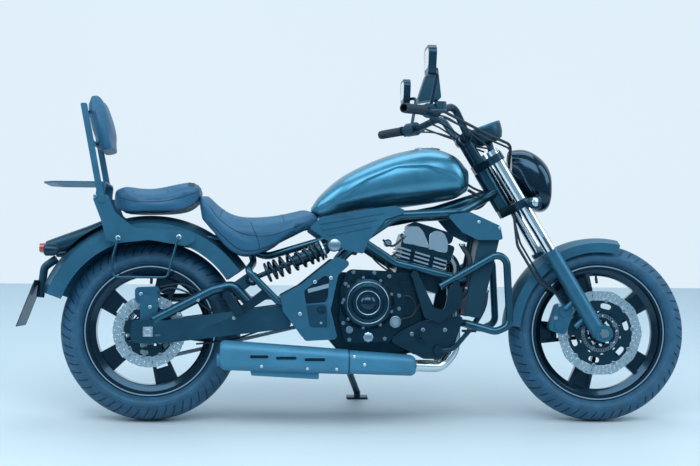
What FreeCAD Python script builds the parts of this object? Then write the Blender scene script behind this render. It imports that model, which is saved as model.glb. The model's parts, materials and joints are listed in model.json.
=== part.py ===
import FreeCAD, Part
import math
import os

# Cruiser motorcycle, in millimetres. It is laid out upright, with x forwards from the rear axle,
# y to the rider's left and z up from the ground, and is then leaned onto its side stand.

# Stance
wheelbase = 1575.0
lean_deg = 8.5
rake_deg = 31.0
fork_offset = 58.0
overrun = 2.0
seat_gap = 0.3
flat_share = 0.96

# Rear wheel: 160/60 tyre on a 17 inch rim
rear_tyre_radius = 312.0
rear_tyre_half = 80.0
rear_crown_radius = 84.0
rear_bead_radius = 216.0
rear_rim_half = 57.0
rear_hub_radius = 44.0
rear_disc_radius = 125.0
rear_disc_face = 82.0

# Front wheel: 120/70 tyre on an 18 inch rim
front_tyre_radius = 313.0
front_tyre_half = 60.0
front_crown_radius = 63.0
front_bead_radius = 228.6
front_rim_half = 41.0
front_hub_radius = 38.0
front_disc_radius = 150.0
front_disc_face = 64.0

# Both rims and tyres
flange_height = 13.0
flange_wall = 4.0
seat_width = 16.0
well_depth = 22.0
rim_wall = 6.0
crown_deg = 60.0
wall_share = 0.5
spoke_pairs = 5
rib_thick = 13.0
rib_depth = 34.0
rib_hub_spread = 15.0
rib_rim_spread = 34.0
web_thick = 8.0
web_start_share = 0.62
bore_clearance = 0.3

# Brake discs
disc_thick = 5.0
disc_band = 32.0
carrier_thick = 6.0
disc_windows = 5
window_deg = 44.0
front_disc_lobes = 10
caliper_wide = 46.0
caliper_boss_step = 4.0
lobe_depth = 3.5
front_caliper_deg = 161.0
front_caliper_long = 100.0
front_caliper_high = 66.0
rear_caliper_deg = 93.0
rear_caliper_long = 84.0
rear_caliper_high = 56.0

# Chain drive: 520 chain
chain_pitch = 15.875
rear_teeth = 42
front_teeth = 15
chain_plane = 97.0
chain_wide = 16.0
chain_plate_high = 14.0
chain_waist_high = 9.0
roller_radius = 5.1
sprocket_thick = 7.0
tooth_clearance = 1.0
tooth_high = 6.0
output_x = 0.4063 * wheelbase
output_z = 393.0

# Fork and steering
leg_setback = 10.0
leg_side = 105.0
slider_radius = 27.0
slider_top = 342.0
stanchion_radius = 20.5
leg_top = 748.0
lower_clamp_at = 520.0
upper_clamp_at = 702.0
clamp_thick = 28.0
clamp_eye_radius = 31.0
clamp_nose_radius = 26.0
stem_radius = 15.0
head_radius = 31.0
head_gap = 1.0
front_axle_radius = 9.0
lug_radius = 30.0
collar_step = 3.0
collar_high = 14.0
lug_wall = 3.0
nut_high = 8.0
nut_step = 6.0
brace_side = 90.0
brace_thick = 20.0
brace_outline = (
    (-90.0, 318.0), (-90.0, 340.0), (-58.0, 364.0), (58.0, 364.0), (90.0, 340.0), (90.0, 318.0),
    (77.0, 318.0), (75.0, 335.0), (48.0, 345.0), (-48.0, 345.0), (-75.0, 335.0), (-77.0, 318.0),
)
hose_radius = 5.0
cable_radius = 3.5

# Handlebar, grips and controls
bar_radius = 12.7
bar_bend = 55.0
bend_run_share = 0.8
bar_end_back = 722.0
bar_end_x = wheelbase - bar_end_back
bar_end_y = 410.0
bar_end_z = 1054.0
bar_mid_back = 477.0
bar_mid_x = wheelbase - bar_mid_back
bar_mid_z = 994.0
riser_radius = 17.0
riser_side = 48.0
grip_radius = 17.0
grip_long = 128.0
bar_end_radius = 19.0
bar_end_long = 22.0
switch_long = 46.0
switch_radius = 25.0
lever_radius = 6.0
lever_reach = 62.0
mirror_high = 96.0
mirror_wide = 150.0
mirror_deep = 26.0
mirror_back = 645.0
mirror_x = wheelbase - mirror_back
mirror_y = 393.0
mirror_z = 1212.0
mirror_rod_radius = 6.0
sweep_deg = 38.0
grip_drop_deg = 4.0
holder_places = ((-665.0, 1104.0), (-634.0, 1200.0), (-594.0, 1232.0), (-581.0, 1118.0))
holder_in = 118.0
holder_out = 186.0

# Headlamp cowl and instruments
cowl_rear_back = 313.0
cowl_rear_x = wheelbase - cowl_rear_back
cowl_front_back = 172.0
cowl_front_x = wheelbase - cowl_front_back
cowl_low_z = 741.0
cowl_top_z = 962.0
cowl_half = 98.0
lens_setback = 26.0
cowl_reach = 60.0
pod_back = 395.0
pod_x = wheelbase - pod_back
pod_z = 1030.0
pod_radius = 50.0
pod_deep = 42.0
pod_tilt_deg = 52.0
signal_radius = 21.0
signal_long = 52.0
signal_side = 165.0
front_signal_ahead = 11.8
front_signal_along = 518.7

# Mudguards
guard_wall = 4.0
front_guard_radius = 335.0
front_guard_edge = 284.0
front_guard_half = 73.0
front_guard_from_deg = 77.0
front_guard_to_deg = 176.0
rear_guard_radius = 400.0
rear_guard_edge = 318.0
rear_guard_half = 112.0
rear_guard_from_deg = 34.0
rear_guard_to_deg = 160.0

# Frame
tube_radius = 16.0
thin_tube_radius = 12.0
tube_bend = 70.0
frame_side = 150.0
pivot_side = 124.0
pivot_x = 0.367 * wheelbase
pivot_z = 381.0
pivot_radius = 23.0
rail_x = 0.4997 * wheelbase
rail_z = 694.0
shock_top_x = 0.4013 * wheelbase
shock_top_z = 613.0
stay_top_x = -90.0
stay_top_z = 654.0
stay_side = 70.0
down_side = 136.0
side_tube_places = ((0.6775, 730.0), (0.5378, 716.0), (0.4616, 634.0), (0.4203, 573.0), (0.3708, 441.0))
side_tube_inset = 21.0
down_tube_places = ((0.4603, 628.0), (0.5346, 553.0), (0.6743, 500.0), (0.7175, 498.0))
down_tube_end_side = 82.0
seat_rail_places = ((0.3822, 633.0), (0.254, 572.0), (0.1587, 632.0))
strut_places = ((0.219, 597.0), (0.226, 552.0), (0.2127, 522.0), (0.2794, 418.0), (0.3175, 400.0), (0.3657, 423.0))

# Swingarm and shock absorber
arm_side_in = 116.0
arm_thick = 30.0
arm_high = 78.0
arm_front_high = 84.0
arm_end_long = 58.0
brace_high = 34.0
brace_peak_x = 0.1816 * wheelbase
brace_peak_z = 472.0
cross_x = 0.2889 * wheelbase
cross_z = 368.0
cross_radius = 30.0
yoke_side_in = 50.0
yoke_thick = 28.0
pivot_bolt_radius = 10.0
adjuster_side = 34.0
adjuster_thick = 6.0
rear_axle_radius = 10.0
axle_side = 152.0
shock_side = 128.0
shock_low_x = 0.2235 * wheelbase
shock_low_z = 494.0
shock_body_radius = 19.0
spring_radius = 35.0
spring_wire = 6.5
spring_turns = 7
shock_eye_radius = 24.0
spring_start_share = 0.2
spring_share = 0.6

# Engine
engine_rear_x = 0.381 * wheelbase
engine_front_x = 0.6019 * wheelbase
engine_low_z = 218.0
engine_top_z = 520.0
engine_half = 128.0
chain_side_half = 78.0
gearbox_half = 100.0
sump_half = 96.0
sump_top_z = 292.0
cylinder_x = 0.581 * wheelbase
cylinder_z = 470.0
cylinder_tilt_deg = 17.0
cylinder_long = 92.0
cylinder_half = 118.0
cylinder_high = 118.0
head_high = 58.0
cover_high = 41.0
fin_count = 5
fin_pitch = 12.7
fin_start = 61.0
fin_groove = 7.0
fin_groove_share = 0.34
cover_share = 0.84
cover_corner = 16.0
fin_thick = 5.0
fin_reach = 12.0
clutch_x = 0.4743 * wheelbase
clutch_z = 415.0
clutch_radius = 92.0
clutch_deep = 52.0
generator_x = 0.4889 * wheelbase
generator_z = 395.0
generator_radius = 84.0
generator_deep = 44.0
case_thick = 16.0
case_corner = 26.0
bolt_radius = 7.0
bolt_head = 4.0
right_case_places = (
    (0.4317, 530.0), (0.5302, 524.0), (0.5562, 425.0), (0.5454, 322.0), (0.5238, 283.0), (0.4254, 274.0),
    (0.4133, 355.0), (0.4159, 470.0),
)
right_case_bolts = (
    (0.4432, 519.0), (0.4889, 518.0), (0.5219, 506.0), (0.5435, 440.0), (0.5435, 395.0), (0.5124, 292.0),
    (0.4349, 288.0), (0.4216, 345.0), (0.4222, 424.0), (0.4260, 479.0),
)
left_case_places = (
    (0.4444, 526.0), (0.5302, 524.0), (0.5562, 425.0), (0.5454, 322.0), (0.5238, 283.0), (0.4444, 283.0),
)
left_case_bolts = (
    (0.4540, 510.0), (0.4889, 514.0), (0.5240, 508.0), (0.5440, 430.0), (0.5400, 350.0), (0.4540, 340.0),
)
oil_window = (0.5352, 350.0, 17.0)
slotted_plug = (0.4349, 322.0, 14.0)
fill_cap = (0.4762, 297.0, 18.0)

# Radiator
radiator_low_x = 0.706 * wheelbase
radiator_low_z = 372.0
radiator_top_x = 0.7441 * wheelbase
radiator_top_z = 682.0
radiator_half = 127.0
radiator_thick = 30.0
shroud_thick = 5.0
slat_count = 15
slat_high = 3.0
slat_gap = 9.0

# Exhaust
header_radius = 19.0
header_side = 46.0
face_shift = 12.0
header_places = ((0.6425, 590.0), (0.6743, 560.0), (0.6768, 440.0), (0.6743, 250.0), (0.6413, 192.0), (0.5746, 200.0))
muffler_rear_x = 0.1556 * wheelbase
muffler_front_x = 0.5784 * wheelbase
muffler_side = 152.0
muffler_half = 50.0
muffler_rear_low = 184.0
muffler_rear_top = 286.0
muffler_front_low = 164.0
muffler_front_top = 238.0
muffler_seam_share = 0.656
seam_step = 2.0
outlet_radius = 22.0
muffler_round = 0.6
muffler_foot_places = ((0.2203, 186.0), (0.2235, 166.0), (0.3689, 154.0), (0.3689, 182.0))

# Tank, seats and covers
tank_rear_x = 0.353 * wheelbase
tank_front_x = 0.701 * wheelbase
tank_base_z = 706.0
tank_top_z = 959.0
tank_half = 142.0
cap_x = 0.6146 * wheelbase
cap_radius = 44.0
cap_high = 9.0
saddle_rear_x = 0.1092 * wheelbase
saddle_front_x = 0.3708 * wheelbase
saddle_low_z = 572.0
saddle_top_z = 800.0
saddle_half = 158.0
pillion_rear_x = -128.0
pillion_front_x = 0.1181 * wheelbase
pillion_low_z = 716.0
pillion_top_z = 825.0
pillion_half = 128.0

# Backrest and rack
plate_thick = 5.0
support_side = 148.0
support_rear_x = -194.0
support_front_x = 162.0
support_low_z = 604.0
support_top_z = 771.0
upright_wide = 22.0
upright_thick = 8.0
upright_low_x = -160.0
upright_top_x = -226.0
upright_top_z = 1088.0
pad_bar_radius = 7.0
pad_bar_ahead = 34.0
pad_ahead = 74.0
boss_radius = 9.0
plate_bolts = ((-101.0, 629.0), (101.0, 635.0))
pad_low_z = 932.0
pad_high = 200.0
pad_half = 138.0
pad_deep = 62.0
pad_lean_deg = 14.0
rack_rear_x = -365.0
rack_front_x = -150.0
rack_half = 132.0
rack_z = 818.0
rack_bolt_x = -255.0
rack_bolt_circle = 186.7
rack_bolt_hole = 3.3
rack_corner = 20.0
rack_slots = 5
rack_slot_long = 130.0
rack_ear_long = 30.0
wire_radius = 4.0
wire_side = 176.0
wire_bend = 18.0
wire_drop = 132.0

# Tail, lamp and plate
tail_rear_x = -384.0
tail_front_x = -150.0
tail_half = 78.0
tail_low_z = 530.0
tail_top_z = 705.0
tail_round = 0.7
lamp_low_z = 577.0
lamp_top_z = 616.0
plate_arm_places = ((-330.0, 560.0), (-372.0, 530.0), (-385.0, 425.0))
plate_arm_radius = 14.0
lamp_deep = 22.0
rear_signal_x = -327.0
rear_signal_z = 588.0
rear_signal_side = 140.0
plate_wide = 200.0
plate_high = 170.0
plate_sheet = 3.0
plate_top_x = -391.0
plate_top_z = 485.0
plate_tilt_deg = 21.0

# Engine guards, footrests and stand
guard_radius = 13.0
guard_places = (
    (0.6330, 152.0, 472.0), (0.7784, 152.0, 604.0), (0.7873, 152.0, 340.0), (0.7556, 152.0, 318.0),
    (0.6946, 120.0, 345.0), (0.6603, 80.0, 350.0),
)
bracket_side = 172.0
bracket_thick = 14.0
bracket_places = ((0.5689, 511.0), (0.6806, 348.0))
bracket_bolts = ((0.5765 * wheelbase, 512.0), (0.6667 * wheelbase, 478.0))
peg_radius = 15.0
peg_long = 95.0
peg_x = 0.5937 * wheelbase
peg_z = 305.0
stand_pivot_x = 0.4381 * wheelbase
stand_pivot_y = 112.0
stand_pivot_z = 196.0
stand_foot_x = 0.4743 * wheelbase
stand_foot_y = 335.0
stand_radius = 12.0
stand_foot_long = 78.0
stand_foot_wide = 42.0
stand_foot_thick = 8.0
stand_boss_radius = 19.0
stand_boss_half = 12.0
stand_pin_radius = 8.0
ankle_in = 6.0
ankle_high = 22.0
leg_start = 14.0
stowed_way = (-0.97, 0.2, 0.05)
ear_thick = 9.0
ear_long = 62.0
control_plate_places = (
    (0.5225, 284.0), (0.5441, 316.0), (0.5879, 351.0), (0.6864, 375.0), (0.6648, 273.0), (0.6317, 223.0),
    (0.5968, 224.0),
)
pedal_pivot = (0.6273, 255.0)
pedal_toe = (0.6921, 322.0)
pedal_side = 205.0
shift_shaft = (0.4667, 302.0)
link_radius = 4.0
pillion_peg_places = ((0.1587, 442.0), (0.1714, 456.0), (0.2063, 381.0), (0.1911, 354.0))
pillion_peg_out = 196.0
pillion_bracket_places = ((0.1968, 366.0), (0.1968, 396.0), (0.2508, 462.0), (0.2667, 438.0))
chain_guard_places = ((-0.0254, 436.0), (0.1016, 443.0), (0.2032, 449.0), (0.2095, 442.0), (-0.0254, 428.0))
side_panel_places = (
    (0.3454, 670.0), (0.3733, 708.0), (0.4235, 719.0), (0.4781, 737.0), (0.5327, 748.0), (0.5619, 728.0),
    (0.5111, 700.0), (0.4895, 658.0), (0.4724, 620.0), (0.4635, 582.0), (0.4241, 595.0), (0.3829, 629.0),
)
panel_rib_places = (
    ((0.3683, 688.0), (0.5079, 722.0)), ((0.3746, 668.0), (0.4921, 698.0)), ((0.3873, 648.0), (0.4825, 674.0)),
)
front_panel_places = (
    (0.6476, 719.0), (0.6984, 730.0), (0.7651, 683.0), (0.7714, 635.0), (0.7162, 634.0), (0.6806, 661.0),
)
pivot_cover_places = (
    (0.4025, 571.0), (0.3276, 475.0), (0.2838, 438.0), (0.2902, 384.0), (0.3390, 284.0), (0.4089, 290.0),
    (0.3930, 391.0), (0.4089, 509.0), (0.4400, 554.0),
)
pivot_recess_places = ((0.3350, 455.0), (0.3905, 520.0), (0.3850, 395.0), (0.3950, 330.0), (0.3480, 330.0))
recess_deep = 5.0
rib_high = 3.0

lean = math.radians(lean_deg)
rake = math.radians(rake_deg)
sweep = math.radians(sweep_deg)
grip_drop = math.radians(grip_drop_deg)


def vec(x, y, z):
    return FreeCAD.Vector(x, y, z)


def leaned_height(radius, crown):
    # Height of an axle whose tyre stands on the side of its round crown.
    return (radius - crown) * math.cos(lean) + crown


disc_seat = (carrier_thick - disc_thick) / 2
front_hub_half = front_disc_face - disc_seat
rear_hub_right = rear_disc_face - disc_seat
rear_hub_left = chain_plane - sprocket_thick / 2
axle_reach = leg_side + slider_radius + lug_wall
lug_in_side = leg_side - slider_radius + lug_wall * 2
rear_axle_z = rear_tyre_radius
front_axle_z = rear_axle_z + (
    leaned_height(front_tyre_radius, front_crown_radius)
    - leaned_height(rear_tyre_radius, rear_crown_radius)
) / math.cos(lean)
rear_axle = vec(0, 0, rear_axle_z)
front_axle = vec(wheelbase, 0, front_axle_z)
fork_place = FreeCAD.Placement(front_axle, FreeCAD.Rotation(vec(0, 1, 0), -rake_deg))
pitch_radius = chain_pitch / (2 * math.sin(math.pi / rear_teeth))
output_radius = chain_pitch / (2 * math.sin(math.pi / front_teeth))


def fork_point(ahead, side, along):
    # A point in the fork's own axes: ahead of the front axle, to the left, and up the legs.
    return fork_place.multVec(vec(ahead, side, along))


# Outlines and paths

def spread(shares, rear, front, low, high):
    # Places shares of a piece's length and height between its ends.
    return [(rear + u * (front - rear), low + v * (high - low)) for u, v in shares]


def placed(places):
    # Turns shares of the wheelbase into places along the machine, each with its height.
    return [(share * wheelbase, z) for share, z in places]


def corner_arc(before, corner, after, radius):
    # Start, middle and end of the arc that rounds a corner, limited by its two runs.
    back = before.sub(corner)
    ahead = after.sub(corner)
    half = back.getAngle(ahead) / 2
    reach = min(radius / math.tan(half), flat_share * min(back.Length, ahead.Length) / 2)
    back.normalize()
    ahead.normalize()
    bend = reach * math.tan(half)
    middle = back.add(ahead).normalize()
    nearest = bend / math.sin(half) - bend
    return (corner.add(back * reach), corner.add(middle * nearest), corner.add(ahead * reach))


def rounded_wire(corners, radius):
    # Closed outline of straight runs joined by tangent arcs.
    count = len(corners)
    arcs = []
    for index, corner in enumerate(corners):
        arcs.append(corner_arc(corners[index - 1], corner, corners[(index + 1) % count], radius))
    edges = []
    for index, (start, middle, end) in enumerate(arcs):
        edges.append(Part.Arc(start, middle, end).toShape())
        edges.append(Part.LineSegment(end, arcs[(index + 1) % count][0]).toShape())
    return Part.Wire(edges)


def straight_wire(corners):
    return Part.makePolygon(corners + [corners[0]])


def path_wire(points, bend):
    # Open route of straight runs joined by tangent arcs.
    edges = []
    start = points[0]
    for index in range(1, len(points) - 1):
        first, middle, last = corner_arc(points[index - 1], points[index], points[index + 1], bend)
        edges.append(Part.LineSegment(start, first).toShape())
        edges.append(Part.Arc(first, middle, last).toShape())
        start = last
    edges.append(Part.LineSegment(start, points[-1]).toShape())
    return Part.Wire(edges)


def tube(points, radius, bend):
    path = path_wire(points, bend)
    ring = Part.Wire(Part.Circle(points[0], points[1].sub(points[0]), radius).toShape())
    return path.makePipeShell([ring], True, False)


def rod(start, end, radius):
    along = end.sub(start)
    return Part.makeCylinder(radius, along.Length, start, along)


def cross_rod(x, z, side_from, side_to, radius):
    return rod(vec(x, side_from, z), vec(x, side_to, z), radius)


def slab(outline, side_from, side_to, radius, holes=()):
    # Sheet or block with a rounded side outline, from one side plane to another.
    corners = [vec(x, side_from, z) for x, z in outline]
    wire = rounded_wire(corners, radius) if radius else straight_wire(corners)
    body = Part.Face(wire).extrude(vec(0, side_to - side_from, 0))
    for x, z, hole in holes:
        body = body.cut(cross_rod(x, z, side_from - overrun, side_to + overrun, hole))
    return body


def side_slab(outline, face, inner, outer, radius, holes=()):
    # Slab on the left or the right, between two distances from the middle plane.
    return slab(outline, min(face * inner, face * outer), max(face * inner, face * outer), radius, holes)


def side_rod(x, z, face, inner, outer, radius):
    return cross_rod(x, z, min(face * inner, face * outer), max(face * inner, face * outer), radius)


def turned(profile, centre):
    # Solid of revolution about an axle: profile of (radius, side) corners.
    corners = [centre.add(vec(radius, side, 0)) for radius, side in profile]
    return Part.Face(straight_wire(corners)).revolve(centre, vec(0, 1, 0), 360)


def fuse(pieces):
    return pieces[0].multiFuse(pieces[1:]).removeSplitter() if len(pieces) > 1 else pieces[0]


def group(pieces):
    return Part.makeCompound(pieces)


def ring_section(x, half, low, high, round_share, count=12):
    # Closed smooth cross-section, squarer than an ellipse as its round share falls.
    points = []
    middle = (low + high) / 2
    tall = (high - low) / 2
    for step in range(count):
        angle = 2 * math.pi * step / count
        side = math.copysign(abs(math.cos(angle)) ** round_share, math.cos(angle))
        rise = math.copysign(abs(math.sin(angle)) ** round_share, math.sin(angle))
        points.append(vec(x, half * side, middle + tall * rise))
    curve = Part.BSplineCurve()
    curve.interpolate(Points=points, PeriodicFlag=True)
    return Part.Wire(curve.toShape())


def loft(sections):
    return Part.makeLoft(sections, True, False)


# Wheels

def tyre(centre, radius, half, crown, bead, rim_half):
    # Crown in flats one lean angle wide, bulged walls, and feet on the bead seats.
    flats = int(crown_deg / lean_deg)
    right = []
    for flat in range(flats + 1):
        angle = lean * flat
        right.append((radius - crown + crown * math.cos(angle), crown * math.sin(angle)))
    flange = bead + flange_height + bore_clearance
    foot = rim_half - flange_wall - bore_clearance
    right.append((flange + (right[-1][0] - flange) * wall_share, half))
    right += [(flange, rim_half), (flange, foot), (bead + bore_clearance, foot)]
    left = [(r, -side) for r, side in reversed(right[1:])]
    return turned(left + right, centre)


def rim_barrel(bead, half):
    # Flanges, bead seats and a drop centre, as a wall of even thickness.
    flange = bead + flange_height
    seat = half - flange_wall - seat_width
    well = bead - well_depth
    slope = seat - well_depth / 2
    outer = [
        (flange, half),
        (flange, half - flange_wall),
        (bead, half - flange_wall),
        (bead, seat),
        (well, slope),
    ]
    inner = [(bead - rim_wall, half), (bead - rim_wall, seat), (well - rim_wall, slope)]
    profile = outer + [(r, -s) for r, s in reversed(outer)] + [(r, -s) for r, s in inner]
    return turned(profile + list(reversed(inner)), vec(0, 0, 0))


def rib(angle_deg, hub, rim, hub_offset, rim_offset):
    # Tapered cast rib from the hub to the rim.
    corners = []
    for radius, offset, deep in ((hub, hub_offset, rib_depth), (rim, rim_offset, rib_depth * web_start_share)):
        section = []
        for side, tall in ((-1, -1), (1, -1), (1, 1), (-1, 1)):
            section.append(vec(radius, side * deep / 2, offset + tall * rib_thick / 2))
        corners.append(straight_wire(section))
    body = Part.makeLoft(corners, True, True)
    body.rotate(vec(0, 0, 0), vec(0, 1, 0), angle_deg)
    return body


def web(angle_deg, hub, rim):
    # Panel that joins a pair of ribs beside the rim.
    start = hub + web_start_share * (rim - hub)
    narrow = rib_hub_spread + web_start_share * (rib_rim_spread - rib_hub_spread)
    corners = [(start, -narrow), (rim, -rib_rim_spread), (rim, rib_rim_spread), (start, narrow)]
    panel = slab(corners, -web_thick / 2, web_thick / 2, 0)
    panel.rotate(vec(0, 0, 0), vec(0, 1, 0), angle_deg)
    return panel


def cast_rim(centre, bead, half, hub, hub_right, hub_left, bore, turn_deg):
    barrel = rim_barrel(bead, half)
    inside = bead - well_depth - rim_wall / 2
    pieces = [barrel, cross_rod(0, 0, -hub_right, hub_left, hub)]
    for pair in range(spoke_pairs):
        angle = turn_deg + 360 * pair / spoke_pairs
        pieces.append(rib(angle, hub - rim_wall, inside, -rib_hub_spread, -rib_rim_spread))
        pieces.append(rib(angle, hub - rim_wall, inside, rib_hub_spread, rib_rim_spread))
        pieces.append(web(angle, hub, inside))
    body = fuse(pieces).cut(cross_rod(0, 0, -hub_right - overrun, hub_left + overrun, bore))
    body.translate(centre)
    return body


def slot_window(inner, outer, side_from, side_to, middle_deg):
    # Curved window between two radii, for a disc carrier.
    wide = math.radians(window_deg)
    points = []
    for radius, first, last in ((inner, -1, 1), (outer, 1, -1)):
        for step in range(3):
            angle = math.radians(middle_deg) + wide / 2 * (first + (last - first) * step / 2)
            points.append((radius * math.cos(angle), radius * math.sin(angle)))
    return slab(points, side_from, side_to, (outer - inner) / 4)


def brake_disc(centre, radius, face, carrier_in, lobes):
    # Brake band carried by a spider with windows, on the right of the wheel.
    inner = radius - disc_band
    middle = -face - disc_thick / 2
    if lobes:
        points = []
        for step in range(lobes * 2):
            angle = math.pi * step / lobes
            reach = radius - lobe_depth * (step % 2)
            points.append((reach * math.cos(angle), reach * math.sin(angle)))
        blank = slab(points, middle - disc_thick / 2, middle + disc_thick / 2, radius / 4)
    else:
        blank = cross_rod(0, 0, middle - disc_thick / 2, middle + disc_thick / 2, radius)
    band = blank.cut(cross_rod(0, 0, middle - disc_thick, middle + disc_thick, inner))
    spider = cross_rod(0, 0, middle - carrier_thick / 2, middle + carrier_thick / 2, inner + overrun)
    spider = spider.cut(cross_rod(0, 0, middle - disc_thick, middle + disc_thick, carrier_in))
    rim_share, hub_share = 0.86, 0.6
    for index in range(disc_windows):
        window = slot_window(
            carrier_in + (inner - carrier_in) * hub_share - disc_thick,
            inner * rim_share + disc_thick,
            middle - disc_thick,
            middle + disc_thick,
            360 * index / disc_windows,
        )
        spider = spider.cut(window)
    body = band.fuse(spider)
    body.translate(centre)
    return body


def toothed_wheel(centre, teeth, tip, thick, bore, plane):
    # Sprocket with trapezoid teeth and round lightening holes.
    tip_share, root_share = 0.16, 0.34
    points = []
    for tooth in range(teeth):
        for share, radius in (
            (-root_share, tip - tooth_high),
            (-tip_share, tip),
            (tip_share, tip),
            (root_share, tip - tooth_high),
        ):
            angle = 2 * math.pi * (tooth + share) / teeth
            points.append((radius * math.cos(angle), radius * math.sin(angle)))
    body = slab(points, plane - thick / 2, plane + thick / 2, 0)
    body = body.cut(cross_rod(0, 0, plane - thick, plane + thick, bore))
    hole_ring = (bore + tip) / 2
    hole = (tip - bore) / 4
    for index in range(disc_windows):
        angle = 2 * math.pi * index / disc_windows
        x = hole_ring * math.cos(angle)
        z = hole_ring * math.sin(angle)
        body = body.cut(cross_rod(x, z, plane - thick, plane + thick, hole))
    body.translate(centre)
    return body


def front_rim():
    return cast_rim(
        front_axle,
        front_bead_radius,
        front_rim_half,
        front_hub_radius,
        front_hub_half,
        front_hub_half,
        front_axle_radius + bore_clearance,
        36,
    )


def rear_rim():
    return cast_rim(
        rear_axle,
        rear_bead_radius,
        rear_rim_half,
        rear_hub_radius,
        rear_hub_right,
        rear_hub_left,
        rear_axle_radius + bore_clearance,
        0,
    )


def front_tyre():
    return tyre(
        front_axle, front_tyre_radius, front_tyre_half, front_crown_radius, front_bead_radius, front_rim_half
    )


def rear_tyre():
    return tyre(
        rear_axle, rear_tyre_radius, rear_tyre_half, rear_crown_radius, rear_bead_radius, rear_rim_half
    )


def front_disc():
    return brake_disc(
        front_axle, front_disc_radius, front_disc_face, front_axle_radius + rib_depth / 2, front_disc_lobes
    )


def rear_disc():
    return brake_disc(rear_axle, rear_disc_radius, rear_disc_face, rear_axle_radius + rib_depth / 2, 0)


def rear_sprocket():
    tip = pitch_radius - roller_radius - tooth_clearance
    return toothed_wheel(
        rear_axle, rear_teeth, tip, sprocket_thick, rear_axle_radius + rib_depth / 2, chain_plane
    )


def front_sprocket():
    # Small sprocket on the gearbox's output shaft.
    tip = output_radius - roller_radius - seat_gap
    shaft = pivot_bolt_radius
    wheel = toothed_wheel(vec(output_x, 0, output_z), front_teeth, tip, sprocket_thick, shaft, chain_plane)
    far = chain_plane + sprocket_thick
    return fuse([wheel, cross_rod(output_x, output_z, chain_side_half, far, shaft + overrun)])


def loop_points(offset_wide, offset_waist):
    # Points around the chain's run, one at each pin and one between pins.
    ahead = vec(output_x, 0, output_z).sub(rear_axle)
    span = ahead.Length
    slope = math.atan2(ahead.z, ahead.x)
    lift = math.asin((pitch_radius - output_radius) / span)
    straight = span * math.cos(lift)
    rear_turn = math.pi + 2 * lift
    front_turn = math.pi - 2 * lift
    total = 2 * straight + rear_turn * pitch_radius + front_turn * output_radius
    steps = 2 * round(total / chain_pitch)
    points = []
    for step in range(steps):
        offset = offset_waist if step % 2 else offset_wide
        way = total * step / steps
        if way < straight:
            angle = slope + math.pi / 2 - lift
            along = angle - math.pi / 2
            x = pitch_radius * math.cos(angle) + way * math.cos(along)
            z = pitch_radius * math.sin(angle) + way * math.sin(along)
        elif way < straight + front_turn * output_radius:
            angle = slope + math.pi / 2 - lift - (way - straight) / output_radius
            x = ahead.x + output_radius * math.cos(angle)
            z = ahead.z + output_radius * math.sin(angle)
        elif way < 2 * straight + front_turn * output_radius:
            angle = slope - math.pi / 2 + lift
            along = angle - math.pi / 2
            back = way - straight - front_turn * output_radius
            x = ahead.x + output_radius * math.cos(angle) + back * math.cos(along)
            z = ahead.z + output_radius * math.sin(angle) + back * math.sin(along)
        else:
            turned_by = (way - 2 * straight - front_turn * output_radius) / pitch_radius
            angle = slope - math.pi / 2 + lift - turned_by
            x = pitch_radius * math.cos(angle)
            z = pitch_radius * math.sin(angle)
        points.append((x + offset * math.cos(angle), rear_axle.z + z + offset * math.sin(angle)))
    return points


def drive_chain():
    # One closed loop whose edge follows the link plates, wide at each pin.
    low = chain_plane - chain_wide / 2
    high = chain_plane + chain_wide / 2
    outer = slab(loop_points(chain_plate_high / 2, chain_waist_high / 2), low, high, 0)
    inner = slab(
        loop_points(-chain_plate_high / 2 + overrun, -chain_waist_high / 2), low - overrun, high + overrun, 0
    )
    return outer.cut(inner)


# Fork and steering

def fork_shape(shape):
    shape.Placement = fork_place.multiply(shape.Placement)
    return shape


def fork_leg(side):
    # Slider with its axle lug and dust seal collar, in the fork's own axes.
    ahead = -leg_setback
    slider = Part.makeCylinder(slider_radius, slider_top - collar_high, vec(ahead, side, 0))
    collar = Part.makeCylinder(
        slider_radius + collar_step, collar_high, vec(ahead, side, slider_top - collar_high)
    )
    face = math.copysign(1, side)
    lug_in = face * lug_in_side
    lug_out = face * axle_reach
    lug = rod(vec(0, lug_in, 0), vec(0, lug_out, 0), lug_radius)
    body = fuse([slider, collar, lug])
    return body.cut(rod(vec(0, -axle_reach * 2, 0), vec(0, axle_reach * 2, 0), front_axle_radius))


def caliper_lugs():
    # Two ears on the right slider that hold the caliper.
    pieces = []
    side = -leg_side + slider_radius / 2
    for lift in (lug_radius * 1.2, lug_radius * 3.6):
        start = vec(-leg_setback, side, lift + lug_radius * 1.4)
        pieces.append(rod(start, vec(-leg_setback - lug_radius * 2, side, lift + lug_radius), lug_radius / 3))
    return pieces


def fork_sliders():
    right = fuse([fork_leg(-leg_side)] + caliper_lugs())
    right = fork_shape(right).cut(piece("front_caliper"))
    return group([right, fork_shape(fork_leg(leg_side))])


def stanchion(side):
    bar = rod(vec(-leg_setback, side, slider_top), vec(-leg_setback, side, leg_top), stanchion_radius)
    return fork_shape(bar)


def fork_tubes():
    return group([stanchion(-leg_side), stanchion(leg_side)])


def front_axle_rod():
    # Axle, its head on the right, and the spacers up to the hub.
    bar = rod(vec(0, -axle_reach, 0), vec(0, axle_reach, 0), front_axle_radius)
    nut = rod(
        vec(0, -axle_reach - nut_high, 0), vec(0, -axle_reach, 0), front_axle_radius + nut_step
    )
    spacer_from = front_hub_half + bore_clearance
    spacer_to = leg_side - slider_radius
    pieces = [bar, nut]
    for face in (-1, 1):
        pieces.append(rod(vec(0, face * spacer_from, 0), vec(0, face * spacer_to, 0), front_axle_radius + nut_step))
    return fork_shape(fuse(pieces))


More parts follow.
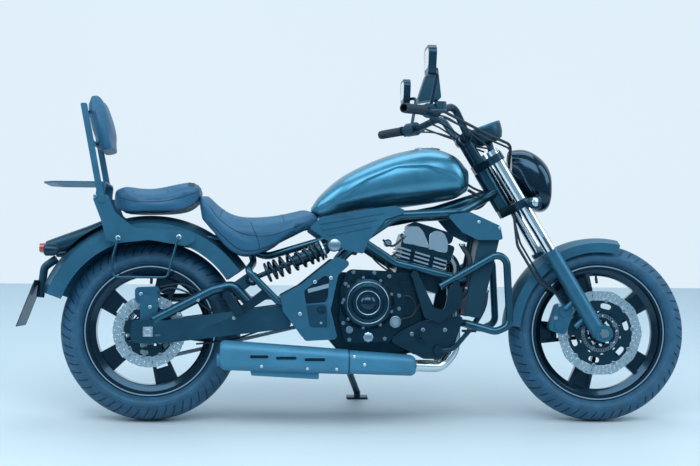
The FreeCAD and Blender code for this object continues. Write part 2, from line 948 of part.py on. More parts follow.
def clamp(low, eye_radius):
    # Plate that grips both fork tubes and carries the stem at its rear.
    nose = -fork_offset
    corners = [
        vec(-leg_setback + eye_radius, -leg_side + eye_radius / 2, low),
        vec(nose + head_radius + eye_radius, 0, low),
        vec(-leg_setback + eye_radius, leg_side - eye_radius / 2, low),
        vec(-leg_setback + eye_radius / 2, leg_side + eye_radius, low),
        vec(-leg_setback - eye_radius, leg_side + eye_radius, low),
        vec(nose - clamp_nose_radius, clamp_nose_radius, low),
        vec(nose - clamp_nose_radius, -clamp_nose_radius, low),
        vec(-leg_setback - eye_radius, -leg_side - eye_radius, low),
        vec(-leg_setback + eye_radius / 2, -leg_side - eye_radius, low),
    ]
    body = Part.Face(rounded_wire(corners, clamp_nose_radius)).extrude(vec(0, 0, clamp_thick))
    for face in (-1, 1):
        start = vec(-leg_setback, face * leg_side, low - overrun)
        hole = Part.makeCylinder(stanchion_radius, clamp_thick + 2 * overrun, start)
        body = body.cut(hole)
    return body


def fork_clamps():
    lower = clamp(lower_clamp_at, clamp_eye_radius)
    upper = clamp(upper_clamp_at, clamp_eye_radius)
    stem = rod(
        vec(-fork_offset, 0, lower_clamp_at + overrun),
        vec(-fork_offset, 0, upper_clamp_at + clamp_thick + nut_high),
        stem_radius,
    )
    stay = rod(
        vec(-fork_offset + clamp_eye_radius, 0, lower_clamp_at + clamp_thick / 2),
        vec(cowl_reach, 0, lower_clamp_at + clamp_thick / 2 + cowl_reach),
        thin_tube_radius,
    )
    pieces = [fork_shape(fuse([lower, upper, stem, stay]))]
    for face in (-1, 1):
        base = fork_point(-fork_offset, face * riser_side, upper_clamp_at + clamp_thick / 2)
        pieces.append(rod(base, vec(bar_mid_x, face * riser_side, bar_mid_z), riser_radius))
        inner = face * (riser_side - riser_radius)
        outer = face * (riser_side + riser_radius)
        eye = cross_rod(bar_mid_x, bar_mid_z, min(inner, outer), max(inner, outer), riser_radius + adjuster_thick)
        pieces.append(eye)
    body = fuse(pieces).cut(cross_rod(bar_mid_x, bar_mid_z, -bar_end_y, bar_end_y, bar_radius))
    return body.cut(piece("handlebar")).cut(piece("headlamp_cowl"))


def bar_route():
    # Half of the handlebar, from the middle out to the left grip's end.
    rise_share, out_share = 0.75, 0.42
    knee_x = bar_mid_x + (bar_end_x - bar_mid_x) * 0.24
    knee_z = bar_mid_z + (bar_end_z - bar_mid_z) * rise_share + bar_bend
    grip_in = vec(
        bar_end_x + grip_long * math.sin(sweep),
        bar_end_y - grip_long * math.cos(sweep),
        bar_end_z + grip_long * math.sin(grip_drop),
    )
    return [
        vec(bar_mid_x, 0, bar_mid_z),
        vec(bar_mid_x, riser_side + riser_radius + bar_bend * bend_run_share, bar_mid_z),
        vec(knee_x, bar_end_y * out_share, knee_z),
        grip_in.add(vec(bar_bend * math.sin(sweep), -bar_bend * math.cos(sweep), 0)),
        vec(bar_end_x, bar_end_y, bar_end_z),
    ]


def handlebar():
    left = bar_route()
    points = [vec(p.x, -p.y, p.z) for p in reversed(left[1:])] + left[1:]
    return tube(points, bar_radius, bar_bend)


def grip(face):
    # Rubber grip and the weight at the bar's end.
    end, inward = bar_end(face)
    sleeve = rod(end, end.add(inward * grip_long), grip_radius)
    sleeve = sleeve.cut(rod(end, end.add(inward * grip_long), bar_radius))
    weight = rod(end.sub(inward * bar_end_long), end.sub(inward * seat_gap), bar_end_radius)
    return sleeve, weight


def grips():
    return group([grip(-1)[0], grip(1)[0], grip(-1)[1], grip(1)[1]])


def bar_end(face):
    # The bar's end on one side, and the direction inwards along the grip.
    route = bar_route()
    end = vec(route[-1].x, face * route[-1].y, route[-1].z)
    near = vec(route[-2].x, face * route[-2].y, route[-2].z)
    return end, near.sub(end).normalize()


def control(face):
    # Switch box round the bar, with the lever in front of the grip and its fluid tank or cable end.
    end, inward = bar_end(face)
    start = end.add(inward * (grip_long + seat_gap))
    box = rod(start, start.add(inward * switch_long), switch_radius)
    box = box.cut(rod(start, start.add(inward * switch_long), bar_radius))
    middle = start.add(inward * (switch_long / 2))
    pivot = middle.add(vec(lever_reach / 2, 0, 0))
    knee = start.add(vec(lever_reach, 0, 0))
    tip = end.add(inward * bar_end_long).add(vec(lever_reach, 0, -lever_radius))
    lever = tube([pivot, knee, tip], lever_radius, lever_reach / 3)
    bracket = rod(middle.add(vec(bar_radius, 0, 0)), pivot, lever_radius * 2)
    pieces = [box, bracket, lever]
    if face < 0:
        pieces.append(rod(pivot, pivot.add(vec(0, 0, switch_radius + lever_radius)), switch_radius * 0.8))
    return fuse(pieces).cut(piece("handlebar"))


def device_holder():
    # Small holder on the right of the bar, with the arm that carries it.
    outline = [(wheelbase + back, z) for back, z in holder_places]
    case = side_slab(outline, -1, holder_in, holder_out, nut_high)
    route = bar_route()
    seat = vec(route[2].x, -route[2].y, route[2].z - bar_bend / 3)
    middle = vec((outline[0][0] + outline[3][0]) / 2, -(holder_in + holder_out) / 2, outline[3][1] + nut_high)
    return fuse([case, rod(seat, middle, lever_radius)]).cut(piece("handlebar"))


def hand_controls():
    return group([control(-1), control(1), device_holder()])


def control_lines():
    # Brake hose and cables from the levers to the cowl, and two lines down to the front brake.
    pieces = []
    for face, lift, radius in ((-1, 0, hose_radius), (-1, -1, cable_radius), (1, 0, cable_radius)):
        end, inward = bar_end(face)
        start = end.add(inward * (grip_long + switch_long + seat_gap * 2))
        start = start.add(vec(lever_reach / 2, 0, lift * hose_radius * 4))
        drop = vec(0, 0, lift * hose_radius * 3)
        points = [start] + [fork_point(*place).add(drop) for place in (
            (-leg_setback, face * leg_side * 1.9, upper_clamp_at + cowl_half),
            (cowl_reach, face * leg_side, upper_clamp_at + clamp_thick),
            (cowl_reach / 2, face * riser_side, upper_clamp_at - clamp_thick),
        )]
        line = tube(points, radius, bar_bend)
        for name in ("headlamp_cowl", "fork_clamps", "handlebar", "hand_controls"):
            line = line.cut(piece(name))
        pieces.append(line)
    for ahead, side, radius in ((-102, -leg_side, hose_radius), (-84, -leg_side + slider_radius, cable_radius)):
        points = [fork_point(*place) for place in (
            (-leg_setback - stanchion_radius * 2, side + bar_radius, lower_clamp_at + overrun),
            (ahead, side, lower_clamp_at - tube_bend * 1.5),
            (ahead, side, slider_top - tube_bend),
            (-leg_setback * 4, -front_disc_face, front_disc_radius),
        )]
        line = tube(points, radius, bar_bend)
        for name in ("fork_clamps", "fork_sliders", "front_caliper", "front_mudguard"):
            line = line.cut(piece(name))
        pieces.append(line)
    return group(pieces)


def mirror(face):
    # Oval glass housing on a bent rod that stands on the switch box.
    end, inward = bar_end(face)
    base = end.add(inward * (grip_long + switch_long / 2)).add(vec(0, 0, switch_radius + seat_gap))
    centre = vec(mirror_x, face * mirror_y, mirror_z)
    knee = vec((base.x + centre.x) / 2 + mirror_deep, face * (abs(base.y) + mirror_deep), base.z + mirror_high)
    arm = tube([base, knee, centre.add(vec(0, 0, -mirror_high / 4))], mirror_rod_radius, mirror_deep)
    half_high = mirror_high / 2
    half_wide = mirror_wide / 2
    shape_share = 0.62
    outline = [
        vec(centre.x - mirror_deep / 2, centre.y - half_wide * shape_share, centre.z - half_high),
        vec(centre.x - mirror_deep / 2, centre.y + half_wide * shape_share, centre.z - half_high),
        vec(centre.x - mirror_deep / 2, centre.y + half_wide, centre.z + half_high * shape_share),
        vec(centre.x - mirror_deep / 2, centre.y + half_wide * shape_share, centre.z + half_high),
        vec(centre.x - mirror_deep / 2, centre.y - half_wide * shape_share, centre.z + half_high),
        vec(centre.x - mirror_deep / 2, centre.y - half_wide, centre.z + half_high * shape_share),
    ]
    shell = Part.Face(rounded_wire(outline, half_high * shape_share)).extrude(vec(mirror_deep, 0, 0))
    return fuse([arm, shell]).cut(piece("hand_controls"))


def mirrors():
    return group([mirror(-1), mirror(1)])


def headlamp_cowl():
    # Slim shell that narrows to a point below the lamp.
    stations = (
        (0.00, 0.62, 0.46, 0.98),
        (0.30, 0.86, 0.22, 1.00),
        (0.62, 1.00, 0.02, 0.93),
        (0.86, 0.94, 0.00, 0.80),
        (1.00, 0.70, 0.12, 0.62),
    )
    sections = []
    long = cowl_front_x - cowl_rear_x
    tall = cowl_top_z - cowl_low_z
    for along, wide, low, high in stations:
        sections.append(
            ring_section(
                cowl_rear_x + along * long,
                wide * cowl_half,
                cowl_low_z + low * tall,
                cowl_low_z + high * tall,
                0.8,
            )
        )
    shell = loft(sections)
    pocket = rod(
        vec(cowl_front_x - lens_setback, 0, cowl_low_z + tall / 2),
        vec(cowl_front_x + lens_setback, 0, cowl_low_z + tall / 2),
        cowl_half * 0.62,
    )
    return shell.cut(pocket)


def headlamp_lens():
    middle = (cowl_low_z + cowl_top_z) / 2
    start = vec(cowl_front_x - lens_setback + seat_gap, 0, middle)
    glass = rod(start, start.add(vec(lens_setback / 2, 0, 0)), cowl_half * 0.62 - seat_gap)
    return glass


def instrument_pod():
    tilt = math.radians(pod_tilt_deg)
    face = vec(-math.sin(tilt), 0, math.cos(tilt))
    centre = vec(pod_x, 0, pod_z)
    can = rod(centre.sub(face * (pod_deep / 2)), centre.add(face * (pod_deep / 2)), pod_radius)
    root = fork_point(-leg_setback, 0, upper_clamp_at + clamp_thick / 2)
    stay = rod(root, centre.sub(face * (pod_deep / 2)), thin_tube_radius)
    return fuse([can, stay]).cut(piece("fork_clamps"))


def front_signals():
    pieces = []
    for face in (-1, 1):
        root = fork_point(front_signal_ahead, face * (leg_side + stanchion_radius + seat_gap), front_signal_along)
        out = fork_point(front_signal_ahead, face * signal_side, front_signal_along)
        pieces.append(fuse([rod(root, out, signal_radius / 3), signal_lamp(out)]))
    return group(pieces)


def signal_lamp(middle):
    # Bullet housing with its wide lens end forwards.
    sizes = ((-1, 0.35), (-0.7, 0.75), (-0.1, 1), (0.8, 1), (1, 0.8))
    corners = [middle.add(vec(along * signal_long / 2, 0, wide * signal_radius)) for along, wide in sizes]
    corners = [middle.add(vec(-signal_long / 2, 0, 0))] + corners + [middle.add(vec(signal_long / 2, 0, 0))]
    return Part.Face(straight_wire(corners)).revolve(middle, vec(1, 0, 0), 360)


def guard_shell(centre, radius, edge, half, from_deg, to_deg):
    # Mudguard: arched section swept round the axle.
    arch_share, drop_share = 0.72, 0.35
    drop = (radius - edge) * drop_share
    outer = [
        vec(edge, -half, 0),
        vec(radius - drop, -half, 0),
        vec(radius, -half * arch_share * drop_share, 0),
        vec(radius, half * arch_share * drop_share, 0),
        vec(radius - drop, half, 0),
        vec(edge, half, 0),
    ]
    inner = [
        vec(edge, half - guard_wall, 0),
        vec(radius - drop - guard_wall / 2, half - guard_wall, 0),
        vec(radius - guard_wall, half * arch_share * drop_share - guard_wall / 2, 0),
        vec(radius - guard_wall, -half * arch_share * drop_share + guard_wall / 2, 0),
        vec(radius - drop - guard_wall / 2, -half + guard_wall, 0),
        vec(edge, -half + guard_wall, 0),
    ]
    section = Part.Face(straight_wire(outer + inner))
    section.rotate(vec(0, 0, 0), vec(0, 1, 0), -from_deg)
    shell = section.revolve(vec(0, 0, 0), vec(0, 1, 0), from_deg - to_deg)
    shell.translate(centre)
    return shell


def front_mudguard():
    shell = guard_shell(
        front_axle,
        front_guard_radius,
        front_guard_edge,
        front_guard_half,
        front_guard_from_deg,
        front_guard_to_deg,
    )
    pieces = [shell]
    for face in (-1, 1):
        low = vec(-leg_setback, face * (front_guard_half - guard_wall / 2), slider_top - collar_high * 3)
        stay = rod(low, vec(low.x, face * (leg_side - slider_radius), low.z), thin_tube_radius)
        pieces.append(fork_shape(stay))
    return group([fuse(pieces), fork_brace()])


def fork_brace():
    # Arched plate over the mudguard that ties the two sliders together.
    near = -leg_setback - brace_thick / 2
    corners = [vec(near, side, along) for side, along in brace_outline]
    plate = Part.Face(rounded_wire(corners, brace_thick / 4)).extrude(vec(brace_thick, 0, 0))
    return fork_shape(plate).cut(piece("fork_sliders")).cut(piece("fork_tubes"))


def caliper(centre, radius, face, angle_deg, long, high):
    # Body that straddles a disc, with two piston bosses outside and the disc's slot cut through.
    angle = math.radians(angle_deg)
    outward = vec(math.cos(angle), 0, math.sin(angle))
    along = vec(-outward.z, 0, outward.x)
    middle = centre.add(outward * radius)
    half_wide = caliper_wide / 2
    outline = []
    for reach, way in ((-1, -1), (1, -1), (1, 1), (-1, 1)):
        corner = middle.add(outward * (reach * high / 2)).add(along * (way * long / 2))
        outline.append((corner.x, corner.z))
    pieces = [slab(outline, -face - half_wide, -face + half_wide, high / 4)]
    for way in (-1, 1):
        boss = middle.add(along * (way * long / 4))
        low = -face - half_wide - caliper_boss_step
        pieces.append(cross_rod(boss.x, boss.z, low, -face, high / 4))
    body = fuse(pieces)
    slot = disc_thick * 1.5
    return body.cut(cross_rod(centre.x, centre.z, -face - slot, -face + slot, radius + high / 4))


def front_caliper():
    face = front_disc_face + disc_thick / 2
    return caliper(front_axle, front_disc_radius, face, front_caliper_deg, front_caliper_long, front_caliper_high)


def rear_caliper():
    # Caliper and the plate that carries it on the swingarm's inner side.
    face = rear_disc_face + disc_thick / 2
    body = caliper(rear_axle, rear_disc_radius, face, rear_caliper_deg, rear_caliper_long, rear_caliper_high)
    low = rear_axle_z + rear_axle_radius * 2
    high = rear_axle_z + rear_disc_radius
    outline = [(-lug_radius, low), (lug_radius, low), (lug_radius, high), (-lug_radius, high)]
    outer = -arm_side_in + seat_gap
    return fuse([body, slab(outline, outer, outer + nut_high * 1.5, nut_high)]).cut(piece("swingarm"))


# Frame

def spine(radius):
    # Backbone from the head tube back under the tank.
    joint = fork_point(-fork_offset, 0, (lower_clamp_at + upper_clamp_at) / 2)
    back = vec(rail_x, 0, rail_z)
    knee = vec((joint.x + back.x) / 2, 0, joint.z - tube_bend)
    return tube([joint, knee, back], radius, tube_bend)


def frame_head():
    # Head tube with its bore, and the backbone that runs back under the tank.
    low = lower_clamp_at + clamp_thick + head_gap
    high = upper_clamp_at - head_gap
    head = rod(vec(-fork_offset, 0, low), vec(-fork_offset, 0, high), head_radius)
    head = fork_shape(head)
    reach = frame_side - tube_radius / 2
    cross = cross_rod(rail_x, rail_z, -reach, reach, tube_radius)
    bore = rod(
        vec(-fork_offset, 0, low - overrun),
        vec(-fork_offset, 0, high + overrun),
        stem_radius + bore_clearance,
    )
    pieces = [head, spine(tube_radius * 1.3), cross]
    for face in (-1, 1):
        foot = vec(rail_x, face * riser_side, rail_z)
        pieces.append(rod(foot, foot.add(vec(0, 0, tank_half / 2)), thin_tube_radius))
    return fuse(pieces).cut(fork_shape(bore)).cut(piece("fuel_tank"))


def frame_side_tube(face):
    # Perimeter tube from the head, past the cylinders, down to the swingarm pivot.
    middle = (lower_clamp_at + upper_clamp_at) / 2
    points = [fork_point(-fork_offset, face * head_radius / 2, middle)]
    sides = (frame_side - side_tube_inset, frame_side, frame_side, pivot_side, pivot_side)
    for (x, z), side in zip(placed(side_tube_places), sides):
        points.append(vec(x, face * side, z))
    points.append(vec(pivot_x, face * pivot_side, pivot_z - pivot_radius))
    return tube(points, tube_radius, tube_bend)


def frame_down_tube(face):
    # Lower tube from the perimeter tube past the engine's side to the radiator's mounts.
    sides = (frame_side, down_side, down_side, down_tube_end_side)
    points = [vec(x, face * side, z) for (x, z), side in zip(placed(down_tube_places), sides)]
    return tube(points, tube_radius - overrun, tube_bend / 2)


def frame_half(face):
    body = fuse([frame_side_tube(face), frame_down_tube(face)])
    body = body.cut(cross_rod(pivot_x, pivot_z, -frame_side, frame_side, pivot_bolt_radius))
    head = rod(
        vec(-fork_offset, 0, lower_clamp_at), vec(-fork_offset, 0, upper_clamp_at), head_radius - overrun
    )
    return body.cut(fork_shape(head)).cut(piece("frame_head")).cut(piece("radiator"))


def frame_sides():
    return group([frame_half(-1), frame_half(1)])


def rail_route(face):
    points = placed(seat_rail_places) + [(stay_top_x, stay_top_z)]
    return [vec(x, face * stay_side, z) for x, z in points]


def subframe(face):
    # Seat rail that reaches back under the mudguard, and the strut down to the pivot.
    rail = tube(rail_route(face), thin_tube_radius, tube_bend)
    outer = arm_side_in + arm_thick + thin_tube_radius + head_gap
    foot = pivot_side + tube_radius
    sides = (stay_side + overrun, stay_side + thin_tube_radius, outer, outer, outer, foot)
    points = [vec(x, face * side, z) for (x, z), side in zip(placed(strut_places), sides)]
    strut = tube(points, thin_tube_radius, tube_bend / 3)
    return fuse([rail, strut]).cut(frame_side_tube(face))


def subframes():
    return group([subframe(-1), subframe(1)])


def engine_guard(face):
    # Loop from the frame forwards, down beside the radiator and back to the cradle.
    points = [vec(share * wheelbase, face * side, z) for share, side, z in guard_places]
    return tube(points, guard_radius, tube_bend / 2)


def engine_guards():
    frame = piece("frame_sides")
    return group([engine_guard(-1).cut(frame), engine_guard(1).cut(frame)])


# Rear suspension

def swing_arm_side(face):
    # Straight box arm beside the wheel.
    inside = face * arm_side_in
    outside = face * (arm_side_in + arm_thick)
    outline = [
        (-arm_end_long, rear_axle_z + arm_high / 2),
        (arm_end_long, rear_axle_z + arm_high / 2),
        (cross_x + cross_radius, cross_z + arm_front_high / 2),
        (cross_x + cross_radius, cross_z - arm_front_high / 2),
        (arm_end_long, rear_axle_z - arm_high / 2),
        (-arm_end_long, rear_axle_z - arm_high / 2),
    ]
    return slab(outline, min(inside, outside), max(inside, outside), arm_high / 4)


def swing_arm_brace(face):
    side = face * (arm_side_in + arm_thick / 2)
    foot_z = rear_axle_z + arm_high / 2
    return tube(
        [
            vec(brace_high / 2, side, foot_z),
            vec(brace_peak_x - tube_bend, side, brace_peak_z - tube_bend / 4),
            vec(brace_peak_x, side, brace_peak_z),
            vec(brace_peak_x + tube_bend, side, cross_z + arm_front_high / 3),
        ],
        brace_high / 2,
        tube_bend / 2,
    )


def swing_arm_yoke(face):
    # Plate from the cross tube to the pivot, inside the chain's plane.
    inside = face * yoke_side_in
    outside = face * (yoke_side_in + yoke_thick)
    outline = [
        (cross_x, cross_z + cross_radius),
        (pivot_x + pivot_radius, pivot_z + pivot_radius),
        (pivot_x + pivot_radius, pivot_z - pivot_radius),
        (cross_x, cross_z - cross_radius),
    ]
    return slab(outline, min(inside, outside), max(inside, outside), pivot_radius / 2)


def swingarm():
    # Two arms and braces, the cross tube, the pivot yoke and the shock absorber's ear.
    pieces = []
    for face in (-1, 1):
        pieces.append(swing_arm_side(face))
        pieces.append(swing_arm_brace(face))
        pieces.append(swing_arm_yoke(face))
    inner = arm_side_in + overrun
    pieces.append(cross_rod(cross_x, cross_z, -inner, inner, cross_radius))
    hub = yoke_side_in + yoke_thick
    pieces.append(cross_rod(pivot_x, pivot_z, -hub, hub, pivot_radius))
    ear = [
        (brace_peak_x - brace_high, brace_peak_z - brace_high / 2),
        (shock_low_x - shock_eye_radius / 2, shock_low_z + shock_eye_radius),
        (shock_low_x + shock_eye_radius, shock_low_z),
        (brace_peak_x + brace_high / 2, brace_peak_z - brace_high),
    ]
    ear_out = -arm_side_in + overrun
    pieces.append(slab(ear, ear_out - brace_high / 2, ear_out, brace_high / 4))
    body = fuse(pieces)
    body = body.cut(cross_rod(pivot_x, pivot_z, -hub * 2, hub * 2, pivot_bolt_radius))
    body = body.cut(cross_rod(0, rear_axle_z, -axle_side, axle_side, rear_axle_radius))
    return body.cut(piece("shock_absorber"))


def pivot_bolt():
    # Bolt through the yoke, with the plates on the frame that hold it.
    side = pivot_side + tube_radius
    pieces = [cross_rod(pivot_x, pivot_z, -side - nut_high, side + nut_high, pivot_bolt_radius)]
    for face in (-1, 1):
        head = side + bore_clearance
        pieces.append(
            cross_rod(pivot_x, pivot_z, min(face * head, face * (head + nut_high)),
                      max(face * head, face * (head + nut_high)), pivot_bolt_radius + nut_step)
        )
    return fuse(pieces)


def rear_axle_rod():
    # Axle through both arms, the chain adjusters' square blocks and the spacers up to the hub.
    pieces = [cross_rod(0, rear_axle_z, -axle_side, axle_side, rear_axle_radius)]
    for face in (-1, 1):
        outer = face * (arm_side_in + arm_thick)
        low = min(outer, outer + face * adjuster_thick)
        block = Part.makeBox(
            adjuster_side,
            adjuster_thick,
            adjuster_side,
            vec(-adjuster_side / 2, low, rear_axle_z - adjuster_side / 2),
        )
        pieces.append(block)
        hub = rear_hub_left if face > 0 else rear_hub_right
        start = face * (hub + bore_clearance)
        end = face * arm_side_in
        pieces.append(
            cross_rod(0, rear_axle_z, min(start, end), max(start, end), rear_axle_radius + nut_step)
        )
    return fuse(pieces)


def shock_absorber():
    # Laid-down damper on the right: its body, coil spring, adjuster ring, collars and two eyes.
    top = vec(shock_top_x, -shock_side, shock_top_z)
    low = vec(shock_low_x, -shock_side, shock_low_z)
    along = top.sub(low).normalize()
    reach = top.sub(low).Length
    eye_half = shock_eye_radius / 2
    pieces = [
        rod(low, top, shock_body_radius),
        cross_rod(top.x, top.z, top.y - shock_eye_radius, top.y + eye_half, shock_eye_radius),
        cross_rod(low.x, low.z, low.y - eye_half, low.y + eye_half, shock_eye_radius),
    ]
    first = low.add(along * (reach * spring_start_share))
    long = reach * spring_share
    for turn in range(spring_turns + 1):
        start = first.add(along * (long * turn / spring_turns))
        wide = spring_wire if 0 < turn < spring_turns else spring_wire * 2
        pieces.append(rod(start, start.add(along * wide), spring_radius))
    ring = first.add(along * (long + spring_wire * 3))
    pieces.append(rod(ring, ring.add(along * spring_wire), spring_radius - spring_wire / 2))
    return fuse(pieces)


# Engine

def crankcase():
    outline_share = [
        (0.03, 1.00), (0.00, 0.62), (0.05, 0.22), (0.20, 0.02), (0.80, 0.00), (0.94, 0.30), (1.00, 0.80),
        (0.86, 1.00),
    ]
    outline = spread(outline_share, engine_rear_x, engine_front_x, engine_low_z, engine_top_z)
    body = slab(outline, -engine_half, engine_half, case_corner)
    long = engine_front_x - engine_rear_x + 2 * overrun
    gearbox_long = output_x + output_radius + chain_plate_high - engine_rear_x + overrun
    for face, half in ((1, chain_side_half), (-1, gearbox_half)):
        side = face * half
        far = face * (engine_half + overrun)
        wide = abs(far - side)
        relief = Part.makeBox(
            gearbox_long, wide, engine_top_z, vec(engine_rear_x - overrun, min(side, far), 0)
        )
        body = body.cut(relief)
        low = face * sump_half
        wide = abs(far - low)
        step = Part.makeBox(long, wide, sump_top_z, vec(engine_rear_x - overrun, min(low, far), 0))
        body = body.cut(step)
    return body


def tilted(shape):
    # Leans a piece of the cylinder block forwards about its foot.
    shape.rotate(vec(0, 0, 0), vec(0, 1, 0), cylinder_tilt_deg)
    shape.translate(vec(cylinder_x, 0, cylinder_z))
    return shape


def block(long, half, low, high, radius):
    base = [(-long, low), (long, low), (long, high), (-long, high)]
    return slab(base, -half, half, radius)


def cylinder_block():
    # Finned barrels, head and cam cover, stacked along the tilted axis.
    barrel = block(cylinder_long - fin_reach, cylinder_half - fin_reach, 0, cylinder_high, 0)
    pieces = [barrel]
    for index in range(fin_count):
        low = fin_start + fin_pitch * index
        pieces.append(block(cylinder_long, cylinder_half, low, low + fin_thick, 0))
    fins = fuse(pieces)
    for way in (-1, 1):
        middle = way * cylinder_long * fin_groove_share
        groove = block(fin_groove / 2, cylinder_half + overrun, fin_start - overrun, cylinder_high + overrun, 0)
        core = block(fin_groove, cylinder_half - fin_reach, 0, cylinder_high * 2, 0)
        groove = groove.cut(core)
        groove.translate(vec(middle, 0, 0))
        fins = fins.cut(groove)
    head_low = cylinder_high
    head = block(cylinder_long, cylinder_half - fin_reach / 2, head_low, head_low + head_high, fin_reach)
    cover_low = head_low + head_high
    cover_long = cylinder_long * cover_share
    cover = block(cover_long, cylinder_half - fin_reach, cover_low, cover_low + cover_high, cover_corner)
    body = tilted(fuse([fins, head, cover]))
    return body.cut(piece("crankcase"))


def case_half(places, face, inner, bolts):
    # Half of the case with a boss for each of its bolts.
    near = engine_half + seat_gap
    outer = near + case_thick
    pieces = [side_slab(placed(places), face, inner, outer, case_corner)]
    for x, z in placed(bolts):
        pieces.append(side_rod(x, z, face, near, outer + bolt_head, bolt_radius))
    return pieces


def right_covers():
    # Case half, the stepped clutch cover, the oil window, a slotted plug and the filler cap.
    near = engine_half + seat_gap
    outer = near + case_thick
    steps = ((1, 0), (1, 0.45), (0.88, 0.7), (0.62, 0.8), (0.56, 1), (0, 1))
    profile = [(0, -near)] + [(clutch_radius * wide, -near - clutch_deep * deep) for wide, deep in steps]
    pieces = case_half(right_case_places, -1, gearbox_half + seat_gap, right_case_bolts)
    pieces.append(turned(profile, vec(clutch_x, 0, clutch_z)))
    for share, z, radius in (oil_window, slotted_plug, fill_cap):
        pieces.append(side_rod(share * wheelbase, z, -1, near, outer + bolt_head * 2, radius))
    return fuse(pieces).cut(piece("crankcase")).cut(piece("frame_sides"))


def left_covers():
    # Case half with the generator cover, and the cover of the front sprocket.
    near = engine_half + seat_gap
    steps = ((1, 0), (1, 0.5), (0.84, 0.85), (0.5, 1), (0, 1))
    profile = [(0, near)] + [(generator_radius * wide, near + generator_deep * deep) for wide, deep in steps]
    pieces = case_half(left_case_places, 1, near, left_case_bolts)
    pieces.append(turned(profile, vec(generator_x, 0, generator_z)))
    return group([fuse(pieces).cut(piece("frame_sides")), sprocket_cover()])


def sprocket_cover():
    # Cover over the front sprocket and the chain, on the gearbox's left.
    side = chain_plane + chain_wide / 2 + adjuster_thick
    reach = output_radius + chain_plate_high + nut_high
    front = output_x + output_radius + chain_plate_high - overrun
    outline = [
        (output_x - output_radius / 2, output_z + reach),
        (front, output_z + reach),
        (front, output_z - reach),
        (output_x - output_radius / 2, output_z - reach),
    ]
    pieces = [slab(outline, side, side + yoke_thick / 2, reach / 3)]
    for lift in (-1, 1):
        z = output_z + lift * (reach - nut_step)
        pieces.append(cross_rod(output_x, z, chain_side_half, side + overrun, nut_high / 2))
    return fuse(pieces)


def radiator():
    # Core between two side tanks, louvres in front, shroud sheets at the sides and a filler neck.
    along = vec(radiator_top_x - radiator_low_x, 0, radiator_top_z - radiator_low_z)
    tilt = math.degrees(math.atan2(along.x, along.z))
    long = along.Length
    half = radiator_thick / 2
    core = Part.makeBox(radiator_thick, radiator_half * 2, long, vec(-half, -radiator_half, 0))
    pieces = [core]
    outline = [(-radiator_thick, -shroud_thick), (half * 2, -shroud_thick), (radiator_thick * 1.4, long * 0.9),
               (radiator_thick * 1.4, long + shroud_thick), (-radiator_thick, long + shroud_thick)]
    for face in (-1, 1):
        pieces.append(side_slab(outline, face, radiator_half, radiator_half + shroud_thick, half))
        pieces.append(side_slab([(-half - shroud_thick, 0), (half + shroud_thick, 0),
                                 (half + shroud_thick, long), (-half - shroud_thick, long)],
                                face, radiator_half - radiator_thick, radiator_half, half))
    reach = radiator_half + overrun
    for slat in range(slat_count):
        low = long * (slat + 0.5) / slat_count
        pieces.append(Part.makeBox(slat_high, reach * 2, slat_high, vec(half + slat_gap / 2, -reach, low)))
    neck = vec(0, -radiator_half / 2, long - overrun)
    pieces.append(rod(neck, neck.add(vec(0, 0, radiator_thick / 2)), half - overrun))
    body = fuse(pieces)
    body.rotate(vec(0, 0, 0), vec(0, 1, 0), tilt)
    body.translate(vec(radiator_low_x, 0, radiator_low_z))
    return body


# Exhaust

def header(face):
    # Pipe from one port down in front of the crankcase and under it.
    side = face * header_side
    last = muffler_side - (1 + face) * bar_radius
    sides = (side, side, side, side - face_shift, side - face_shift * 3, -last)
    points = [vec(x, y, z) for (x, z), y in zip(placed(header_places), sides)]
    return tube(points, header_radius, tube_bend)


def exhaust_headers():
    pipes = fuse([header(-1), header(1)])
    return pipes.cut(piece("cylinder_block")).cut(piece("muffler"))


def muffler():
    # Long flattened silencer that narrows evenly forwards, with a seam, an outlet and a foot plate.
    long = muffler_front_x - muffler_rear_x

    def section(share, size, inset):
        low = muffler_rear_low + share * (muffler_front_low - muffler_rear_low)
        top = muffler_rear_top + share * (muffler_front_top - muffler_rear_top)
        shrink = (1 - size) * (top - low) / 2 + inset
        x = muffler_rear_x + share * long
        wire = ring_section(x, muffler_half * size - inset, low + shrink, top - shrink, muffler_round)
        wire.translate(vec(0, -muffler_side, 0))
        return wire

    rear = Part.makeLoft([section(0, 0.8, 0), section(0.012, 0.94, 0), section(0.03, 1, 0)], True, False)
    middle = Part.makeLoft([section(0.03, 1, 0), section(muffler_seam_share, 1, 0)], True, True)
    front = Part.makeLoft([section(muffler_seam_share, 1, seam_step), section(0.96, 1, seam_step)], True, True)
    nose = Part.makeLoft([section(0.96, 1, seam_step), section(0.985, 0.94, seam_step), section(1, 0.72, seam_step)],
                         True, False)
    outlet_z = (muffler_rear_low * 2 + muffler_rear_top) / 3
    outlet = vec(muffler_rear_x - outlet_radius / 2, -muffler_side, outlet_z)
    pipe = rod(outlet, vec(muffler_rear_x + outlet_radius, -muffler_side, outlet_z), outlet_radius)
    bore = rod(outlet, vec(muffler_rear_x + outlet_radius * 3, -muffler_side, outlet_z), outlet_radius - overrun)
    foot = side_slab(placed(muffler_foot_places), -1, muffler_side - outlet_radius, muffler_side + outlet_radius,
                     plate_thick)
    return fuse([rear, middle, front, nose, pipe, foot]).cut(bore)


# Bodywork

